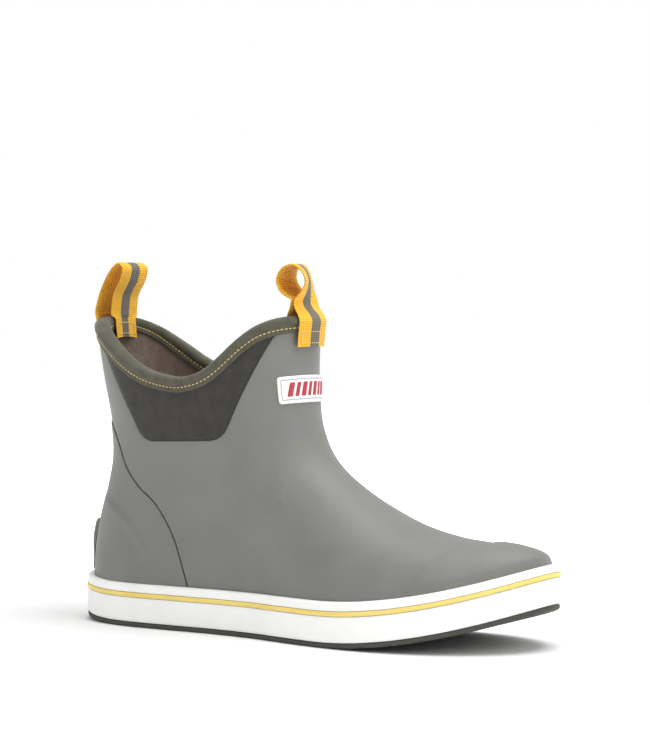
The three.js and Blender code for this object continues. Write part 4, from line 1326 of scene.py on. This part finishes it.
def badgePatch():
    x, y, inFrom = roundedPlate(badge["halfWidth"], badge["height"] / 2, badge["corner"])
    out = badge["lift"] + badge["thickness"] - rolled(inFrom, 0.7)
    low = onBadge(x, y, out - (badge["thickness"] - 0.25))
    points, faces = plateShell(onBadge(x, y, out), low, 0)
    return badgePiece("badge_patch", points, faces, "label", "label_patch")


def badgeLine():
    outerX, outerY = badge["halfWidth"] - badge["inset"], badge["height"] / 2 - badge["inset"]
    corner = 1.0
    arcs = []
    for k, (sx, sy) in enumerate(((1, 1), (-1, 1), (-1, -1), (1, -1))):
        for t in np.linspace(0, pi / 2, 7):
            arcs.append((sx * (outerX - corner), sy * (outerY - corner), k * pi / 2 + t))
    outline = []
    for i, (cx, cy, t) in enumerate(arcs):
        outline.append((cx, cy, t))
        following = arcs[(i + 1) % len(arcs)]
        if (i + 1) % 7 == 0:
            for share in np.linspace(0, 1, 30)[1:-1]:
                outline.append((lerp(cx, following[0], share), lerp(cy, following[1], share), t))
    cx, cy, t = np.array(outline).T
    top = badge["lift"] + badge["thickness"]
    rings = []
    for reach, out in ((corner, top - 0.1), (corner - 0.1, top + 0.1), (corner - 0.6, top + 0.1),
                       (corner - 0.7, top - 0.1)):
        rings.append(onBadge(cx + np.cos(t) * reach, cy + np.sin(t) * reach, np.full(len(cx), out)))
    return ringPiece("badge_line", rings, "boot", "labelLine", ("label_border",))


def badgeMark():
    # slanted bars of two widths: a plain pattern
    cell = badge["markWidth"] / badge["bars"]
    points, faces = [], []
    for k in range(badge["bars"]):
        middle = (k - (badge["bars"] - 1) / 2) * cell
        halfBar = cell * (0.36 if k % 2 == 0 else 0.27)
        x, y, inFrom = roundedPlate(halfBar, badge["barHeight"] / 2, 0.3, 0.45)
        x = x + middle + y * badge["lean"]
        face = badge["lift"] + badge["thickness"]
        top = onBadge(x, y, face + badge["ink"] - rolled(inFrom, 0.3))
        low = onBadge(x, y, np.full(x.shape, face - 0.05))
        barPoints, barFaces = plateShell(top, low, len(points))
        points += barPoints
        faces += barFaces
    return badgePiece("badge_mark", points, faces, "labelRed", "label_mark")


badgePatch()
badgeLine()
badgeMark()
print("badge ready")


# footbed

footbed = {"bottom": 20.0, "foam": 6, "cover": 0.8, "rings": 16, "clear": 0.2, "lift": 0.5,
           "crown": 2.2}


def footbedRings(depth, height, crown):
    # rings of points from the outline to the middle line, at a height above the sole
    turns = turnsRound(180)
    outline = outside(0.6, turns) - outwardAt(0.6, turns, flat=True) * depth
    low, high = outline[:, 0].min() + 24, outline[:, 0].max() - 34
    spineX = np.clip(outline[:, 0], low, high)
    mirrored = np.roll(outline[::-1], 1, 0)
    spineY = (outline[:, 1] + mirrored[:, 1]) / 2
    spine = np.stack([spineX, spineY, np.zeros(len(turns))], 1)
    rings = []
    for share in np.linspace(0, 0.97, footbed["rings"]):
        ring = lerp(outline, spine, share)
        dish = crown * (1 - smoothstep(share, 0.0, 0.45)) * smoothstep(-ring[:, 0], -40, 40)
        edge = -0.5 * np.clip(1 - share / 0.06, 0, 1)
        ring[:, 2] = soleRise(ring[:, 0]) + height + dish + edge
        rings.append(ring)
    return rings


def footbedCover():
    # the cloth over the foam, its rim raised a little round the heel
    depth = layers["footbed"] + footbed["clear"]
    bottom = footbed["bottom"] + footbed["foam"] + footbed["lift"]
    upper = footbedRings(depth, bottom + footbed["cover"], footbed["crown"])
    lower = footbedRings(depth, bottom, footbed["crown"])
    piece = ringPiece("footbed_cover_cloth", lower[::-1] + upper, "footbed",
                      "lining", ("footbed_cover",), closedRows=False, fill=True)
    return piece


footbedCover()
print("footbed ready")

carried = {
    "midsole": "foam", "insole_board": "board", "toe_puff": "board", "heel_counter": "board",
    "foam_interlay": "foam", "footbed_foam": "foam", "footbed_heel_pad": "gel",
}
for name, finish in carried.items():
    node = frame["nodes"][name]
    node.data.materials.clear()
    node.data.materials.append(materials[finish])
print("carried-over nodes finished")
